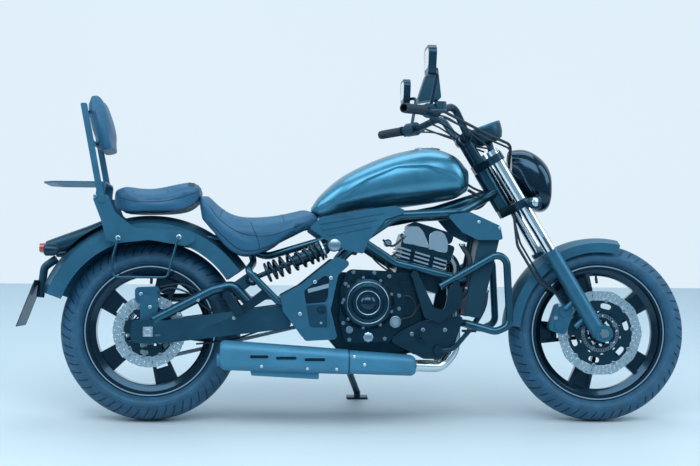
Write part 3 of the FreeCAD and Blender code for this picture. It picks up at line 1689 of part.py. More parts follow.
def fuel_tank():
    # Teardrop tank: widest ahead of the middle, its underside rising to the front.
    stations = (
        (0.00, 0.30, 0.06, 0.16),
        (0.06, 0.52, 0.00, 0.34),
        (0.20, 0.80, 0.04, 0.60),
        (0.41, 0.97, 0.12, 0.83),
        (0.60, 1.00, 0.18, 0.96),
        (0.78, 0.97, 0.24, 1.00),
        (0.92, 0.86, 0.30, 0.90),
        (1.00, 0.62, 0.40, 0.72),
    )
    sections = []
    tall = tank_top_z - tank_base_z
    for along, wide, low, high in stations:
        x = tank_rear_x + along * (tank_front_x - tank_rear_x)
        low_z = tank_base_z + low * tall
        sections.append(ring_section(x, wide * tank_half, low_z, tank_base_z + high * tall, 0.8))
    return loft(sections).cut(spine(tube_radius * 1.3 + seat_gap))


def filler_cap():
    cap = Part.makeCylinder(cap_radius, cap_high * 3, vec(cap_x, 0, tank_top_z - cap_high * 2))
    return cap.cut(piece("fuel_tank"))


def seat_section(x, half, low, high, arch):
    # Seat cross-section: crowned top, full shoulders, flanks tucked in, and a hollow underside.
    shares = (
        (0.00, 1.00), (0.45, 0.99), (0.82, 0.92), (1.00, 0.66), (0.97, 0.30), (0.90, 0.00), (0.76, 0.02),
        (0.60, arch), (0.00, arch),
    )
    right = [vec(x, half * u, low + (high - low) * v) for u, v in shares]
    left = [vec(p.x, -p.y, p.z) for p in reversed(right[1:-1])]
    curve = Part.BSplineCurve()
    curve.interpolate(Points=right + left, PeriodicFlag=True)
    return Part.Wire(curve.toShape())


def rider_seat():
    stations = (
        (0.00, 0.66, 0.57, 0.98, 0.10),
        (0.05, 0.80, 0.46, 0.92, 0.15),
        (0.14, 0.92, 0.26, 0.76, 0.30),
        (0.30, 1.00, 0.02, 0.60, 0.45),
        (0.48, 0.98, 0.02, 0.58, 0.45),
        (0.66, 0.80, 0.18, 0.62, 0.40),
        (0.84, 0.56, 0.36, 0.70, 0.30),
        (1.00, 0.40, 0.50, 0.66, 0.10),
    )
    tall = saddle_top_z - saddle_low_z
    sections = []
    for along, wide, low, high, arch in stations:
        x = saddle_rear_x + along * (saddle_front_x - saddle_rear_x)
        low_z = saddle_low_z + low * tall
        sections.append(seat_section(x, wide * saddle_half, low_z, saddle_low_z + high * tall, arch))
    return loft(sections).cut(piece("fuel_tank"))


def passenger_seat():
    stations = (
        (0.00, 0.62, 0.36, 0.70, 0.10),
        (0.06, 0.82, 0.08, 0.84, 0.10),
        (0.30, 0.98, 0.02, 0.78, 0.10),
        (0.60, 1.00, 0.04, 0.86, 0.10),
        (0.88, 0.92, 0.24, 1.00, 0.10),
        (0.955, 0.78, 0.50, 0.98, 0.10),
    )
    tall = pillion_top_z - pillion_low_z
    sections = []
    for along, wide, low, high, arch in stations:
        x = pillion_rear_x + along * (pillion_front_x - pillion_rear_x)
        low_z = pillion_low_z + low * tall
        sections.append(seat_section(x, wide * pillion_half, low_z, pillion_low_z + high * tall, arch))
    return loft(sections)


def side_panel(face):
    # Pointed trim panel under the tank, with three long ribs.
    inner = frame_side + tube_radius + seat_gap
    outer = inner + plate_thick
    pieces = [side_slab(placed(side_panel_places), face, inner, outer, nut_high)]
    for places in panel_rib_places:
        (x, z), (far_x, far_z) = placed(places)
        half = rib_high * 2
        outline = [(x, z - half), (far_x, far_z), (far_x, far_z + rib_high), (x, z + half)]
        pieces.append(side_slab(outline, face, inner, outer + rib_high, 0))
    return fuse(pieces)


def front_panel(face):
    # Trim panel between the tank's nose and the radiator.
    inner = frame_side + seat_gap
    panel = side_slab(placed(front_panel_places), face, inner, inner + plate_thick, nut_high)
    return panel.cut(piece("frame_sides"))


def pivot_cover(face):
    # Cover over the pivot with a sunken middle.
    inner = arm_side_in + arm_thick + 2 * thin_tube_radius + head_gap + seat_gap
    outer = inner + plate_thick * 2
    body = side_slab(placed(pivot_cover_places), face, inner, outer, case_corner / 2)
    sunk = side_slab(placed(pivot_recess_places), face, outer - recess_deep, outer + overrun, case_corner / 2)
    return body.cut(sunk)


def side_covers():
    pieces = []
    for face in (-1, 1):
        pieces += [side_panel(face), front_panel(face), pivot_cover(face)]
    return group(pieces)


def rear_mudguard():
    # Shell with two holes where the seat rails pass through.
    shell = guard_shell(
        rear_axle, rear_guard_radius, rear_guard_edge, rear_guard_half, rear_guard_from_deg, rear_guard_to_deg
    )
    for face in (-1, 1):
        shell = shell.cut(tube(rail_route(face), thin_tube_radius + head_gap, tube_bend))
    return shell


def tail_cowl():
    # Tapered cover between the mudguard and the lamp.
    stations = (
        (0.00, 0.72, 0.26, 0.52),
        (0.30, 0.86, 0.30, 0.66),
        (0.70, 1.00, 0.46, 0.84),
        (1.00, 0.96, 0.62, 1.00),
    )
    sections = []
    tall = tail_top_z - tail_low_z
    for along, wide, low, high in stations:
        x = tail_rear_x + lamp_deep + along * (tail_front_x - tail_rear_x - lamp_deep)
        sections.append(
            ring_section(x, wide * tail_half, tail_low_z + low * tall, tail_low_z + high * tall, tail_round)
        )
    shell = loft(sections)
    room = cross_rod(0, rear_axle_z, -rear_guard_half * 2, rear_guard_half * 2, rear_guard_radius + seat_gap)
    return shell.cut(room)


def tail_lamp():
    x = tail_rear_x + lamp_deep - seat_gap
    rear = ring_section(tail_rear_x, tail_half * 0.6, lamp_low_z + overrun, lamp_top_z - overrun, tail_round)
    front = ring_section(x, tail_half * 0.7, lamp_low_z, lamp_top_z, tail_round)
    return loft([rear, front])


def rear_signals():
    pieces = []
    for face in (-1, 1):
        lamp = signal_lamp(vec(0, 0, 0))
        lamp.rotate(vec(0, 0, 0), vec(0, 0, 1), 180)
        lamp.translate(vec(rear_signal_x, face * rear_signal_side, rear_signal_z))
        stalk = side_rod(rear_signal_x, rear_signal_z, face, tail_half / 2, rear_signal_side, signal_radius / 3)
        pieces.append(fuse([lamp, stalk]).cut(piece("tail_cowl")))
    return group(pieces)


def plate_holder():
    # Arm under the tail and the blank number plate on its backing.
    sheet = Part.makeBox(plate_sheet, plate_wide, plate_high, vec(0, -plate_wide / 2, -plate_high))
    sheet.rotate(vec(0, 0, 0), vec(0, 1, 0), plate_tilt_deg)
    sheet.translate(vec(plate_top_x, 0, plate_top_z))
    arm = tube([vec(x, 0, z) for x, z in plate_arm_places], plate_arm_radius, plate_arm_radius * 2)
    return fuse([sheet, arm]).cut(piece("rear_mudguard")).cut(piece("tail_cowl"))


# Backrest and rack

def support_plate(face):
    share = [
        (0.00, 1.00), (0.09, 0.51), (0.14, 0.11), (0.25, 0.05), (0.55, 0.12), (0.89, 0.00), (1.00, 0.13),
        (0.93, 0.31), (0.55, 0.36), (0.41, 0.36), (0.31, 0.52), (0.22, 0.68), (0.15, 1.04),
    ]
    outline = spread(share, support_rear_x, support_front_x, support_low_z, support_top_z)
    return side_slab(outline, face, support_side, support_side + plate_thick, fin_reach)


def upright(face):
    half = upright_wide / 2
    foot = support_top_z - upright_wide
    outline = [
        (upright_low_x - half, foot),
        (upright_top_x - half, upright_top_z),
        (upright_top_x + half, upright_top_z),
        (upright_low_x + half, foot),
    ]
    return side_slab(outline, face, support_side, support_side + upright_thick, half / 2)


def backrest_frame():
    pieces = []
    for face in (-1, 1):
        pieces.append(support_plate(face))
        pieces.append(upright(face))
        for x, z in plate_bolts:
            pieces.append(side_rod(x, z, face, rear_guard_half, support_side, boss_radius))
    pieces += pad_bars(pad_bar_radius)
    return fuse(pieces)


def pad_bars(radius):
    # Two bars across the uprights that carry the pad.
    reach = support_side + upright_thick / 2
    bars = []
    high = (upright_top_x + radius / 2, upright_top_z - upright_wide)
    low = (upright_top_x + pad_bar_ahead, pad_low_z + upright_wide)
    for x, z in (high, low):
        bars.append(cross_rod(x, z, -reach, reach, radius))
    return bars


def backrest_pad():
    low = ring_section(0, pad_half * 0.86, -pad_deep * 0.42, pad_deep * 0.42, 0.62)
    mid = ring_section(pad_high * 0.5, pad_half, -pad_deep / 2, pad_deep / 2, 0.62)
    top = ring_section(pad_high, pad_half * 0.84, -pad_deep * 0.3, pad_deep * 0.3, 0.62)
    pad = loft([low, mid, top])
    pad.rotate(vec(0, 0, 0), vec(0, 1, 0), -90)
    pad.rotate(vec(0, 0, 0), vec(0, 1, 0), -pad_lean_deg)
    pad.translate(vec(upright_top_x + pad_ahead, 0, pad_low_z))
    for bar in pad_bars(pad_bar_radius + seat_gap):
        pad = pad.cut(bar)
    return pad


def luggage_rack():
    # Flat sheet with long cut-outs and bolt holes, standing on the support plates.
    half = rack_half
    side = half * 0.7
    corners = [
        vec(rack_rear_x, -side, rack_z),
        vec(rack_rear_x, side, rack_z),
        vec(rack_rear_x + rack_corner * 2, half, rack_z),
        vec(rack_front_x, half, rack_z),
        vec(rack_front_x, -half, rack_z),
        vec(rack_rear_x + rack_corner * 2, -half, rack_z),
    ]
    sheet = Part.Face(rounded_wire(corners, rack_corner)).extrude(vec(0, 0, plate_thick))
    pitch = half * 2 / (rack_slots + 1)
    start = rack_rear_x + rack_corner * 2 + plate_thick
    under = rack_z - plate_thick
    for index in range(rack_slots):
        side = -half + pitch * (index + 1)
        slot = Part.makeBox(rack_slot_long, pitch / 2, plate_thick * 3, vec(start, side - pitch / 4, under))
        sheet = sheet.cut(slot)
    for quarter in range(4):
        angle = math.pi / 4 + math.pi / 2 * quarter
        along = rack_bolt_x + rack_bolt_circle / 2 * math.cos(angle)
        side = rack_bolt_circle / 2 * math.sin(angle)
        sheet = sheet.cut(Part.makeCylinder(rack_bolt_hole, plate_thick * 3, vec(along, side, under)))
    pieces = [sheet]
    low = support_top_z - nut_high
    outline = [
        (rack_front_x - rack_ear_long, rack_z + overrun),
        (rack_front_x, rack_z + overrun),
        (rack_front_x - plate_thick, low),
        (rack_front_x - rack_ear_long - plate_thick, low),
    ]
    for face in (-1, 1):
        pieces.append(side_slab(outline, face, rack_half - plate_thick, rack_half, nut_step))
        foot = rack_front_x - rack_ear_long / 2 - overrun
        pieces.append(side_rod(foot, support_top_z + overrun, face, rack_half, support_side, pad_bar_radius))
    return fuse(pieces)


def bag_wire(face):
    # Wire loop between the support plate's two bolts that keeps a bag off the wheel.
    root = support_side + plate_thick
    (rear_x, rear_z), (front_x, front_z) = plate_bolts
    low = [(rear_x - wire_bend, rear_z - wire_drop / 2), (rear_x - wire_bend, rear_z - wire_drop),
           (front_x - wire_bend * 2, rear_z - wire_drop), (front_x, front_z)]
    points = [vec(rear_x, face * root, rear_z), vec(rear_x, face * wire_side, rear_z)]
    points += [vec(x, face * wire_side, z) for x, z in low]
    points.append(vec(front_x, face * root, front_z))
    return tube(points, wire_radius, wire_bend)


def bag_wires():
    return group([bag_wire(-1), bag_wire(1)])


# Footrests and stand

def peg_bracket(face):
    # Cast V-shaped bracket outside the cradle.
    share = [
        (0.00, 1.00), (0.26, 0.10), (0.56, 0.00), (0.98, 0.32), (1.00, 0.77), (0.74, 0.77), (0.65, 0.27),
        (0.45, 0.31), (0.14, 1.00),
    ]
    (rear_x, top_z), (front_x, low_z) = placed(bracket_places)
    outline = spread(share, rear_x, front_x, low_z, top_z)
    return side_slab(outline, face, bracket_side - bracket_thick, bracket_side, fin_reach)


def control_plate(face):
    # Plate behind the footrest that carries it and the foot control.
    inner = bracket_side - bracket_thick - fin_reach
    return side_slab(placed(control_plate_places), face, inner, inner + fin_reach, case_corner / 2)


def footrest(face):
    inner = bracket_side - bracket_thick - overrun
    peg = side_rod(peg_x, peg_z, face, inner, bracket_side + peg_long, peg_radius)
    collar = side_rod(peg_x, peg_z, face, inner, bracket_side, peg_radius + nut_step)
    pieces = [control_plate(face), peg, collar, peg_bracket(face)]
    for x, z in bracket_bolts:
        outer = bracket_side - bracket_thick / 2
        pieces.append(side_rod(x, z, face, down_side, outer, boss_radius * 1.5))
    return fuse(pieces).cut(piece("frame_sides")).cut(piece("engine_guards"))


def footrests():
    return group([footrest(-1), footrest(1)])


def foot_lever(face):
    # Arm from its boss on the plate forwards and out to the toe pad.
    (x, z), (toe_x, toe_z) = placed((pedal_pivot, pedal_toe))
    inner = bracket_side - bracket_thick
    pieces = [side_rod(x, z, face, inner, inner + bracket_thick + nut_high, peg_radius)]
    knee = vec((x + toe_x) / 2, face * (inner + bracket_thick), z)
    toe = vec(toe_x, face * pedal_side, toe_z)
    pieces.append(tube([vec(x, face * (inner + nut_high), z), knee, toe], nut_high, bar_bend))
    return pieces, toe


def foot_controls():
    # Brake pedal with its pad on the right, gear lever with its link and shaft on the left.
    pedal, toe = foot_lever(-1)
    pad = Part.makeBox(peg_radius * 3, peg_radius * 2.4, nut_high,
                       toe.sub(vec(peg_radius * 1.5, peg_radius * 1.2, nut_high / 2)))
    lever, toe = foot_lever(1)
    lever.append(side_rod(toe.x, toe.z, 1, toe.y - peg_radius, toe.y + peg_radius, boss_radius))
    (x, z), (far_x, far_z) = placed((pedal_pivot, shift_shaft))
    side = bracket_side + nut_high / 2
    lever.append(side_rod(far_x, far_z, 1, engine_half + case_thick + seat_gap, side + nut_high, nut_high * 0.75))
    eye = vec(x, side, z + peg_radius)
    lever.append(rod(eye, vec(far_x, side, far_z), link_radius))
    pieces = []
    for side_pieces in (pedal + [pad], lever):
        body = fuse(side_pieces)
        for name in ("footrests", "left_covers", "right_covers"):
            body = body.cut(piece(name))
        pieces.append(body)
    return group(pieces)


def pillion_peg(face):
    # Folded peg on a bracket that stands on the subframe's strut.
    inner = arm_side_in + arm_thick + head_gap * 2
    plate_out = inner + thin_tube_radius
    pieces = [
        side_slab(placed(pillion_peg_places), face, plate_out - overrun, pillion_peg_out, nut_high),
        side_slab(placed(pillion_bracket_places), face, inner, plate_out, overrun * 2),
    ]
    return fuse(pieces).cut(piece("subframe_rails")).cut(piece("side_covers"))


def pillion_pegs():
    return group([pillion_peg(-1), pillion_peg(1)])


def chain_guard():
    # Sheet over the chain's upper run, with a flange down beside the swingarm.
    outline = placed(chain_guard_places)
    low = chain_plane - chain_wide
    top = side_slab(outline, 1, low, arm_side_in - seat_gap, 0)
    flange = [(x, z) for x, z in outline[:3]] + [(outline[3][0], outline[3][1] - upright_wide),
                                                  (outline[4][0], outline[4][1] - upright_wide)]
    side = side_slab(flange, 1, arm_side_in - plate_thick, arm_side_in - seat_gap, 0)
    (x, z) = outline[0]
    foot = [(0, z - nut_high), (upright_wide, z - nut_high), (upright_wide, rear_axle_z + arm_high / 2),
            (0, rear_axle_z + arm_high / 2)]
    stay = side_slab(foot, 1, arm_side_in - plate_thick, arm_side_in + seat_gap, 0)
    return fuse([top, side, stay]).cut(piece("swingarm"))


def stand_foot_height():
    # Height at which the leaned foot lies on the ground.
    drop = rear_crown_radius * (1 - math.cos(lean))
    return (stand_foot_y * math.sin(lean) - drop) / math.cos(lean)


def stand_axis():
    # Axis that folds the leg back and up beside the engine.
    out = vec(stand_foot_x, stand_foot_y, stand_foot_height()).sub(
        vec(stand_pivot_x, stand_pivot_y, stand_pivot_z)
    )
    stowed = vec(*stowed_way)
    return out.cross(stowed).normalize()


def side_stand():
    pivot = vec(stand_pivot_x, stand_pivot_y, stand_pivot_z)
    foot = vec(stand_foot_x, stand_foot_y, stand_foot_height())
    axis = stand_axis()
    boss = rod(pivot.sub(axis * stand_boss_half), pivot.add(axis * stand_boss_half), stand_boss_radius)
    hole_half = stand_boss_half + overrun
    hole = rod(
        pivot.sub(axis * hole_half), pivot.add(axis * hole_half), stand_pin_radius + bore_clearance
    )
    boss = boss.cut(hole)
    leg_end = foot.add(vec(0, -ankle_in, ankle_high))
    leg = rod(pivot.add(foot.sub(pivot).normalize() * leg_start), leg_end, stand_radius)
    sole = Part.makeBox(
        stand_foot_long, stand_foot_wide, stand_foot_thick, vec(-stand_foot_long / 2, -stand_foot_wide / 2, 0)
    )
    ankle_top = ankle_high + stand_foot_thick
    ankle = rod(vec(0, -ankle_in, stand_foot_thick), vec(0, -ankle_in, ankle_top), stand_radius)
    pad = fuse([sole, ankle])
    pad.rotate(vec(0, 0, 0), vec(1, 0, 0), lean_deg)
    pad.translate(foot)
    return fuse([boss, leg, pad])


def stand_bracket():
    # Forked bracket on the crankcase with the stand's pin.
    pivot = vec(stand_pivot_x, stand_pivot_y, stand_pivot_z)
    axis = stand_axis()
    inward = vec(0, -1, 0).add(axis * axis.y).normalize()
    across = axis.cross(inward)
    ear_from = stand_boss_half + head_gap
    pin_half = ear_from + ear_thick
    pieces = [rod(pivot.sub(axis * pin_half), pivot.add(axis * pin_half), stand_pin_radius)]
    for lift in (-1, 1):
        near = pivot.add(axis * (lift * ear_from))
        far = pivot.add(axis * (lift * (ear_from + ear_thick)))
        pieces.append(rod(near, far, stand_boss_radius))
        corners = [
            near.add(across * stand_boss_radius),
            near.sub(across * stand_boss_radius),
            near.sub(across * stand_boss_radius).add(inward * ear_long),
            near.add(across * stand_boss_radius).add(inward * ear_long),
        ]
        pieces.append(Part.Face(straight_wire(corners)).extrude(axis * (lift * ear_thick)))
    return fuse(pieces).cut(piece("crankcase"))


# Leaning onto the stand

makers = {
    "front_rim": front_rim,
    "front_tyre": front_tyre,
    "front_disc": front_disc,
    "rear_rim": rear_rim,
    "rear_tyre": rear_tyre,
    "rear_disc": rear_disc,
    "rear_sprocket": rear_sprocket,
    "front_sprocket": front_sprocket,
    "drive_chain": drive_chain,
    "fork_sliders": fork_sliders,
    "fork_tubes": fork_tubes,
    "front_axle": front_axle_rod,
    "fork_clamps": fork_clamps,
    "handlebar": handlebar,
    "grips": grips,
    "hand_controls": hand_controls,
    "control_lines": control_lines,
    "mirrors": mirrors,
    "headlamp_cowl": headlamp_cowl,
    "headlamp_lens": headlamp_lens,
    "instrument_pod": instrument_pod,
    "front_signals": front_signals,
    "front_mudguard": front_mudguard,
    "front_caliper": front_caliper,
    "frame_head": frame_head,
    "frame_sides": frame_sides,
    "subframe_rails": subframes,
    "engine_guards": engine_guards,
    "swingarm": swingarm,
    "pivot_bolt": pivot_bolt,
    "rear_axle": rear_axle_rod,
    "shock_absorber": shock_absorber,
    "rear_caliper": rear_caliper,
    "crankcase": crankcase,
    "cylinder_block": cylinder_block,
    "right_covers": right_covers,
    "left_covers": left_covers,
    "radiator": radiator,
    "exhaust_headers": exhaust_headers,
    "muffler": muffler,
    "fuel_tank": fuel_tank,
    "filler_cap": filler_cap,
    "rider_seat": rider_seat,
    "passenger_seat": passenger_seat,
    "side_covers": side_covers,
    "rear_mudguard": rear_mudguard,
    "tail_cowl": tail_cowl,
    "tail_lamp": tail_lamp,
    "rear_signals": rear_signals,
    "plate_holder": plate_holder,
    "backrest_frame": backrest_frame,
    "backrest_pad": backrest_pad,
    "luggage_rack": luggage_rack,
    "bag_wires": bag_wires,
    "footrests": footrests,
    "foot_controls": foot_controls,
    "pillion_pegs": pillion_pegs,
    "chain_guard": chain_guard,
    "side_stand": side_stand,
    "stand_bracket": stand_bracket,
}


made = {}


def piece(name):
    # Each node is made once, and others are cut or seated against it.
    if name not in made:
        made[name] = makers[name]()
    return made[name].copy()


def stand_place(shapes):
    # Turn about the tyres' line, lift onto the ground, and centre the footprint.
    turn = FreeCAD.Rotation(vec(1, 0, 0), -lean_deg)
    lift = rear_crown_radius * (1 - math.cos(lean))
    leaning = FreeCAD.Placement(vec(0, 0, lift), turn)
    moved = []
    for shape in shapes:
        copy = shape.copy()
        copy.Placement = leaning.multiply(copy.Placement)
        moved.append(copy)
    box = Part.makeCompound(moved).optimalBoundingBox(False)
    shift = vec(-(box.XMin + box.XMax) / 2, -(box.YMin + box.YMax) / 2, 0)
    return FreeCAD.Placement(shift, FreeCAD.Rotation()).multiply(leaning), box


def main():
    os.makedirs("parts", exist_ok=True)
    shapes = {name: piece(name) for name in makers}
    place, box = stand_place(list(shapes.values()))
    for name, shape in shapes.items():
        shape.Placement = place.multiply(shape.Placement)
        shape.exportStep("parts/" + name + ".step")
    print("length", round(box.XLength), "width", round(box.YLength), "height", round(box.ZLength))
    print("lowest point", round(box.ZMin, 3))
    return shapes, place


if __name__ == "__main__":
    main()
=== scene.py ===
# Cruiser motorcycle on its side stand, dressed for the render.
import json
import math

import bmesh
import bpy
import numpy as np
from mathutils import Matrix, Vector
from mathutils.bvhtree import BVHTree


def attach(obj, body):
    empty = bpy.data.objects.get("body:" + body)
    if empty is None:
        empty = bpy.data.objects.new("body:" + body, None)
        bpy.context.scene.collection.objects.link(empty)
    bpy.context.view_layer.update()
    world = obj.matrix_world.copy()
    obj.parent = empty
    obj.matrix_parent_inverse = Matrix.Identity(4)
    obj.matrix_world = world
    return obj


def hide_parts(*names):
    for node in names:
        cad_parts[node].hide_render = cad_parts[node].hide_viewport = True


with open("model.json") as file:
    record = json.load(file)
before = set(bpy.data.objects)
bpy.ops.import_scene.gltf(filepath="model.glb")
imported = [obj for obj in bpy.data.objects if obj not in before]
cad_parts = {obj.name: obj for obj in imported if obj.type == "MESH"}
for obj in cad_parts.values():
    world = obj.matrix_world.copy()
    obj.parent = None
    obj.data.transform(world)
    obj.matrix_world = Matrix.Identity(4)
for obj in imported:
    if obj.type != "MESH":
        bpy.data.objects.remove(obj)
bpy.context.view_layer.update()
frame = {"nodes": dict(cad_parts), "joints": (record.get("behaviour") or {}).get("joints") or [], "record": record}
print("frame loaded")

# The machine's own axes: x ahead of the rear axle, y to its left, z up from the floor, in metres.
# The model leans, so a point of the machine goes through the rear wheel's joint into the model.
machine = {
    "rearAxleHigh": 0.312,
    "frontAxleAhead": 1.575,
}
across = np.array(frame["joints"][2]["axis"], float)
across /= np.linalg.norm(across)
ahead = np.array([1.0, 0.0, 0.0])
upward = np.cross(ahead, across)
rearHub = next(np.array(joint["pos_m"]) for joint in frame["joints"] if joint["name"] == "rear_wheel_spin")


def toModel(points):
    # the model's point is the rear hub plus each machine coordinate along its own direction
    points = np.asarray(points, float)
    return (rearHub + points[..., 0:1] * ahead + points[..., 1:2] * across
            + (points[..., 2:3] - machine["rearAxleHigh"]) * upward)


# Meshes

def makeMesh(name, vertices, faces):
    mesh = bpy.data.meshes.new(name)
    mesh.from_pydata(np.asarray(vertices, float).tolist(), [], [list(face) for face in faces])
    mesh.validate()
    mesh.update()
    return mesh


def smoothMesh(mesh, angle):
    # an edge stays sharp where its two faces turn by more than the angle
    mesh.polygons.foreach_set("use_smooth", np.ones(len(mesh.polygons), bool))
    mesh.set_sharp_from_angle(angle=math.radians(angle))


def addPiece(mesh, body, finish, replaces=(), angle=35):
    piece = bpy.data.objects.new(mesh.name, mesh)
    bpy.context.scene.collection.objects.link(piece)
    smoothMesh(mesh, angle)
    mesh.materials.clear()
    mesh.materials.append(finish)
    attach(piece, body)
    if replaces:
        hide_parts(*replaces)
    return piece


bodyOf = {name: body for body, names in frame["record"]["behaviour"]["bodies"].items() for name in names}


def mergedCopy(node):
    # the loose triangles of a CAD node joined along their edges
    mesh = frame["nodes"][node].data.copy()
    mesh.name = node + "Shell"
    work = bmesh.new()
    work.from_mesh(mesh)
    bmesh.ops.remove_doubles(work, verts=work.verts, dist=0.000005)
    work.to_mesh(mesh)
    work.free()
    return mesh


# Finishes

class nodeValue:
    # a node's output that takes part in Python sums, each sum adding its own Math node
    def __init__(self, finish, socket):
        self.finish = finish
        self.socket = socket

    def __add__(self, other):
        return self.finish.node("Math", {"operation": "ADD"}, {0: self, 1: other})

    def __mul__(self, other):
        return self.finish.node("Math", {"operation": "MULTIPLY"}, {0: self, 1: other})

    def between(self, low, high):
        # 0 below low, 1 above high and a soft step between them
        return self.finish.node("MapRange", {"interpolation_type": "SMOOTHSTEP"},
                                {"Value": self, "From Min": low, "From Max": high})


class finishMaker:
    # one material, built node by node on the piece's own Object coordinates
    def __init__(self, name):
        self.material = bpy.data.materials.new(name)
        self.material.use_nodes = True
        self.tree = self.material.node_tree
        self.tree.nodes.clear()
        self.output = self.tree.nodes.new("ShaderNodeOutputMaterial")

    def node(self, kind, settings=None, values=None, output=0):
        made = self.tree.nodes.new("ShaderNode" + kind)
        for key, value in (settings or {}).items():
            setattr(made, key, value)
        for key, value in (values or {}).items():
            self.join(made.inputs[key], value)
        return nodeValue(self, made.outputs[output])

    def join(self, socket, value):
        if isinstance(value, nodeValue):
            self.tree.links.new(value.socket, socket)
        elif isinstance(value, (tuple, list)) and len(value) == 3 and socket.type == "RGBA":
            socket.default_value = tuple(value) + (1.0,)
        else:
            socket.default_value = value

    def place(self):
        return self.node("TexCoord", output="Object")

    def noise(self, size, detail=3.0, roughness=0.5):
        # size is the width of the noise's spots in metres
        return self.node("TexNoise", values={"Vector": self.place(), "Scale": 1.0 / size, "Detail": detail,
                                             "Roughness": roughness})

    def blend(self, factor, first, second):
        return self.node("Mix", {"data_type": "RGBA"}, {0: factor, 6: first, 7: second}, output=2)

    def bump(self, height, depth, strength=1.0):
        return self.node("Bump", values={"Height": height, "Distance": depth, "Strength": strength})

    def surface(self, **values):
        # the shader, with a keyword for each socket, such as baseColor for Base Color
        shader = self.tree.nodes.new("ShaderNodeBsdfPrincipled")
        words = {socket.name.replace(" ", "").lower(): socket for socket in reversed(shader.inputs)}
        for key, value in values.items():
            self.join(words[key.lower()], value)
        self.tree.links.new(shader.outputs[0], self.output.inputs[0])
        return self.material


def paintFinish(name, colour, rough, metal=0.0, coat=0.0, coatRough=0.15, grain=0.0004, depth=0.00002, wear=0.12):
    # sprayed paint: fine grain in the gloss, broad faint changes of tone, dust in soft patches
    make = finishMaker(name)
    broad = make.noise(0.11, 2.0)
    fine = make.noise(grain, 2.0)
    dust = make.noise(0.03, 5.0, 0.6).between(0.45, 0.8)
    light = [min(1.0, part * 1.3) for part in colour]
    dark = [part * 0.82 for part in colour]
    tone = make.blend(broad, dark, light)
    tone = make.blend(dust * wear, tone, [min(1.0, part * 2.0) for part in colour])
    return make.surface(baseColor=tone, metallic=metal, roughness=broad * 0.08 + dust * 0.06 + (rough - 0.05),
                        normal=make.bump(fine, depth), coatWeight=coat, coatRoughness=coatRough)


def metalFinish(name, colour, rough, stain=0.25):
    # bare metal: a fine grain, and soft stains that darken and dull it
    make = finishMaker(name)
    grain = make.noise(0.0006, 3.0, 0.6)
    stains = make.noise(0.02, 4.0, 0.6)
    tone = make.blend(stains * stain, colour, [part * 0.55 for part in colour])
    return make.surface(baseColor=tone, metallic=1.0, roughness=grain * 0.12 + stains * 0.1 + (rough - 0.1),
                        normal=make.bump(grain, 0.000015))


def rubberFinish(name, colour, rough):
    # rubber: matte with a dry grey bloom
    make = finishMaker(name)
    fine = make.noise(0.0012, 3.0)
    bloom = make.noise(0.035, 4.0, 0.65).between(0.35, 0.75)
    tone = make.blend(bloom * 0.35, colour, [part * 2.4 for part in colour])
    return make.surface(baseColor=tone, roughness=fine * 0.12 + (rough - 0.06), normal=make.bump(fine, 0.00008))


def leatherFinish(name, colour):
    # pebbled vinyl: cells with soft borders, and broad random changes of tone and gloss
    make = finishMaker(name)
    cells = make.node("TexVoronoi", {"feature": "SMOOTH_F1"},
                      {"Vector": make.place(), "Scale": 420.0, "Smoothness": 0.6})
    broad = make.noise(0.09, 3.0)
    tone = make.blend(broad, [part * 0.8 for part in colour], [part * 1.3 for part in colour])
    tone = make.blend(cells * 0.35, tone, [part * 0.6 for part in colour])
    return make.surface(baseColor=tone, roughness=broad * 0.15 + cells * 0.1 + 0.36,
                        normal=make.bump(cells, 0.00025, 0.6))


def glassFinish(name, colour, alpha):
    # a clear cover: thin tinted shell with faint waves
    make = finishMaker(name)
    wave = make.noise(0.006, 1.0)
    return make.surface(baseColor=make.blend(wave, colour, [part * 0.9 for part in colour]), roughness=0.06,
                        alpha=wave * 0.06 + (alpha - 0.03), normal=make.bump(wave, 0.00005))


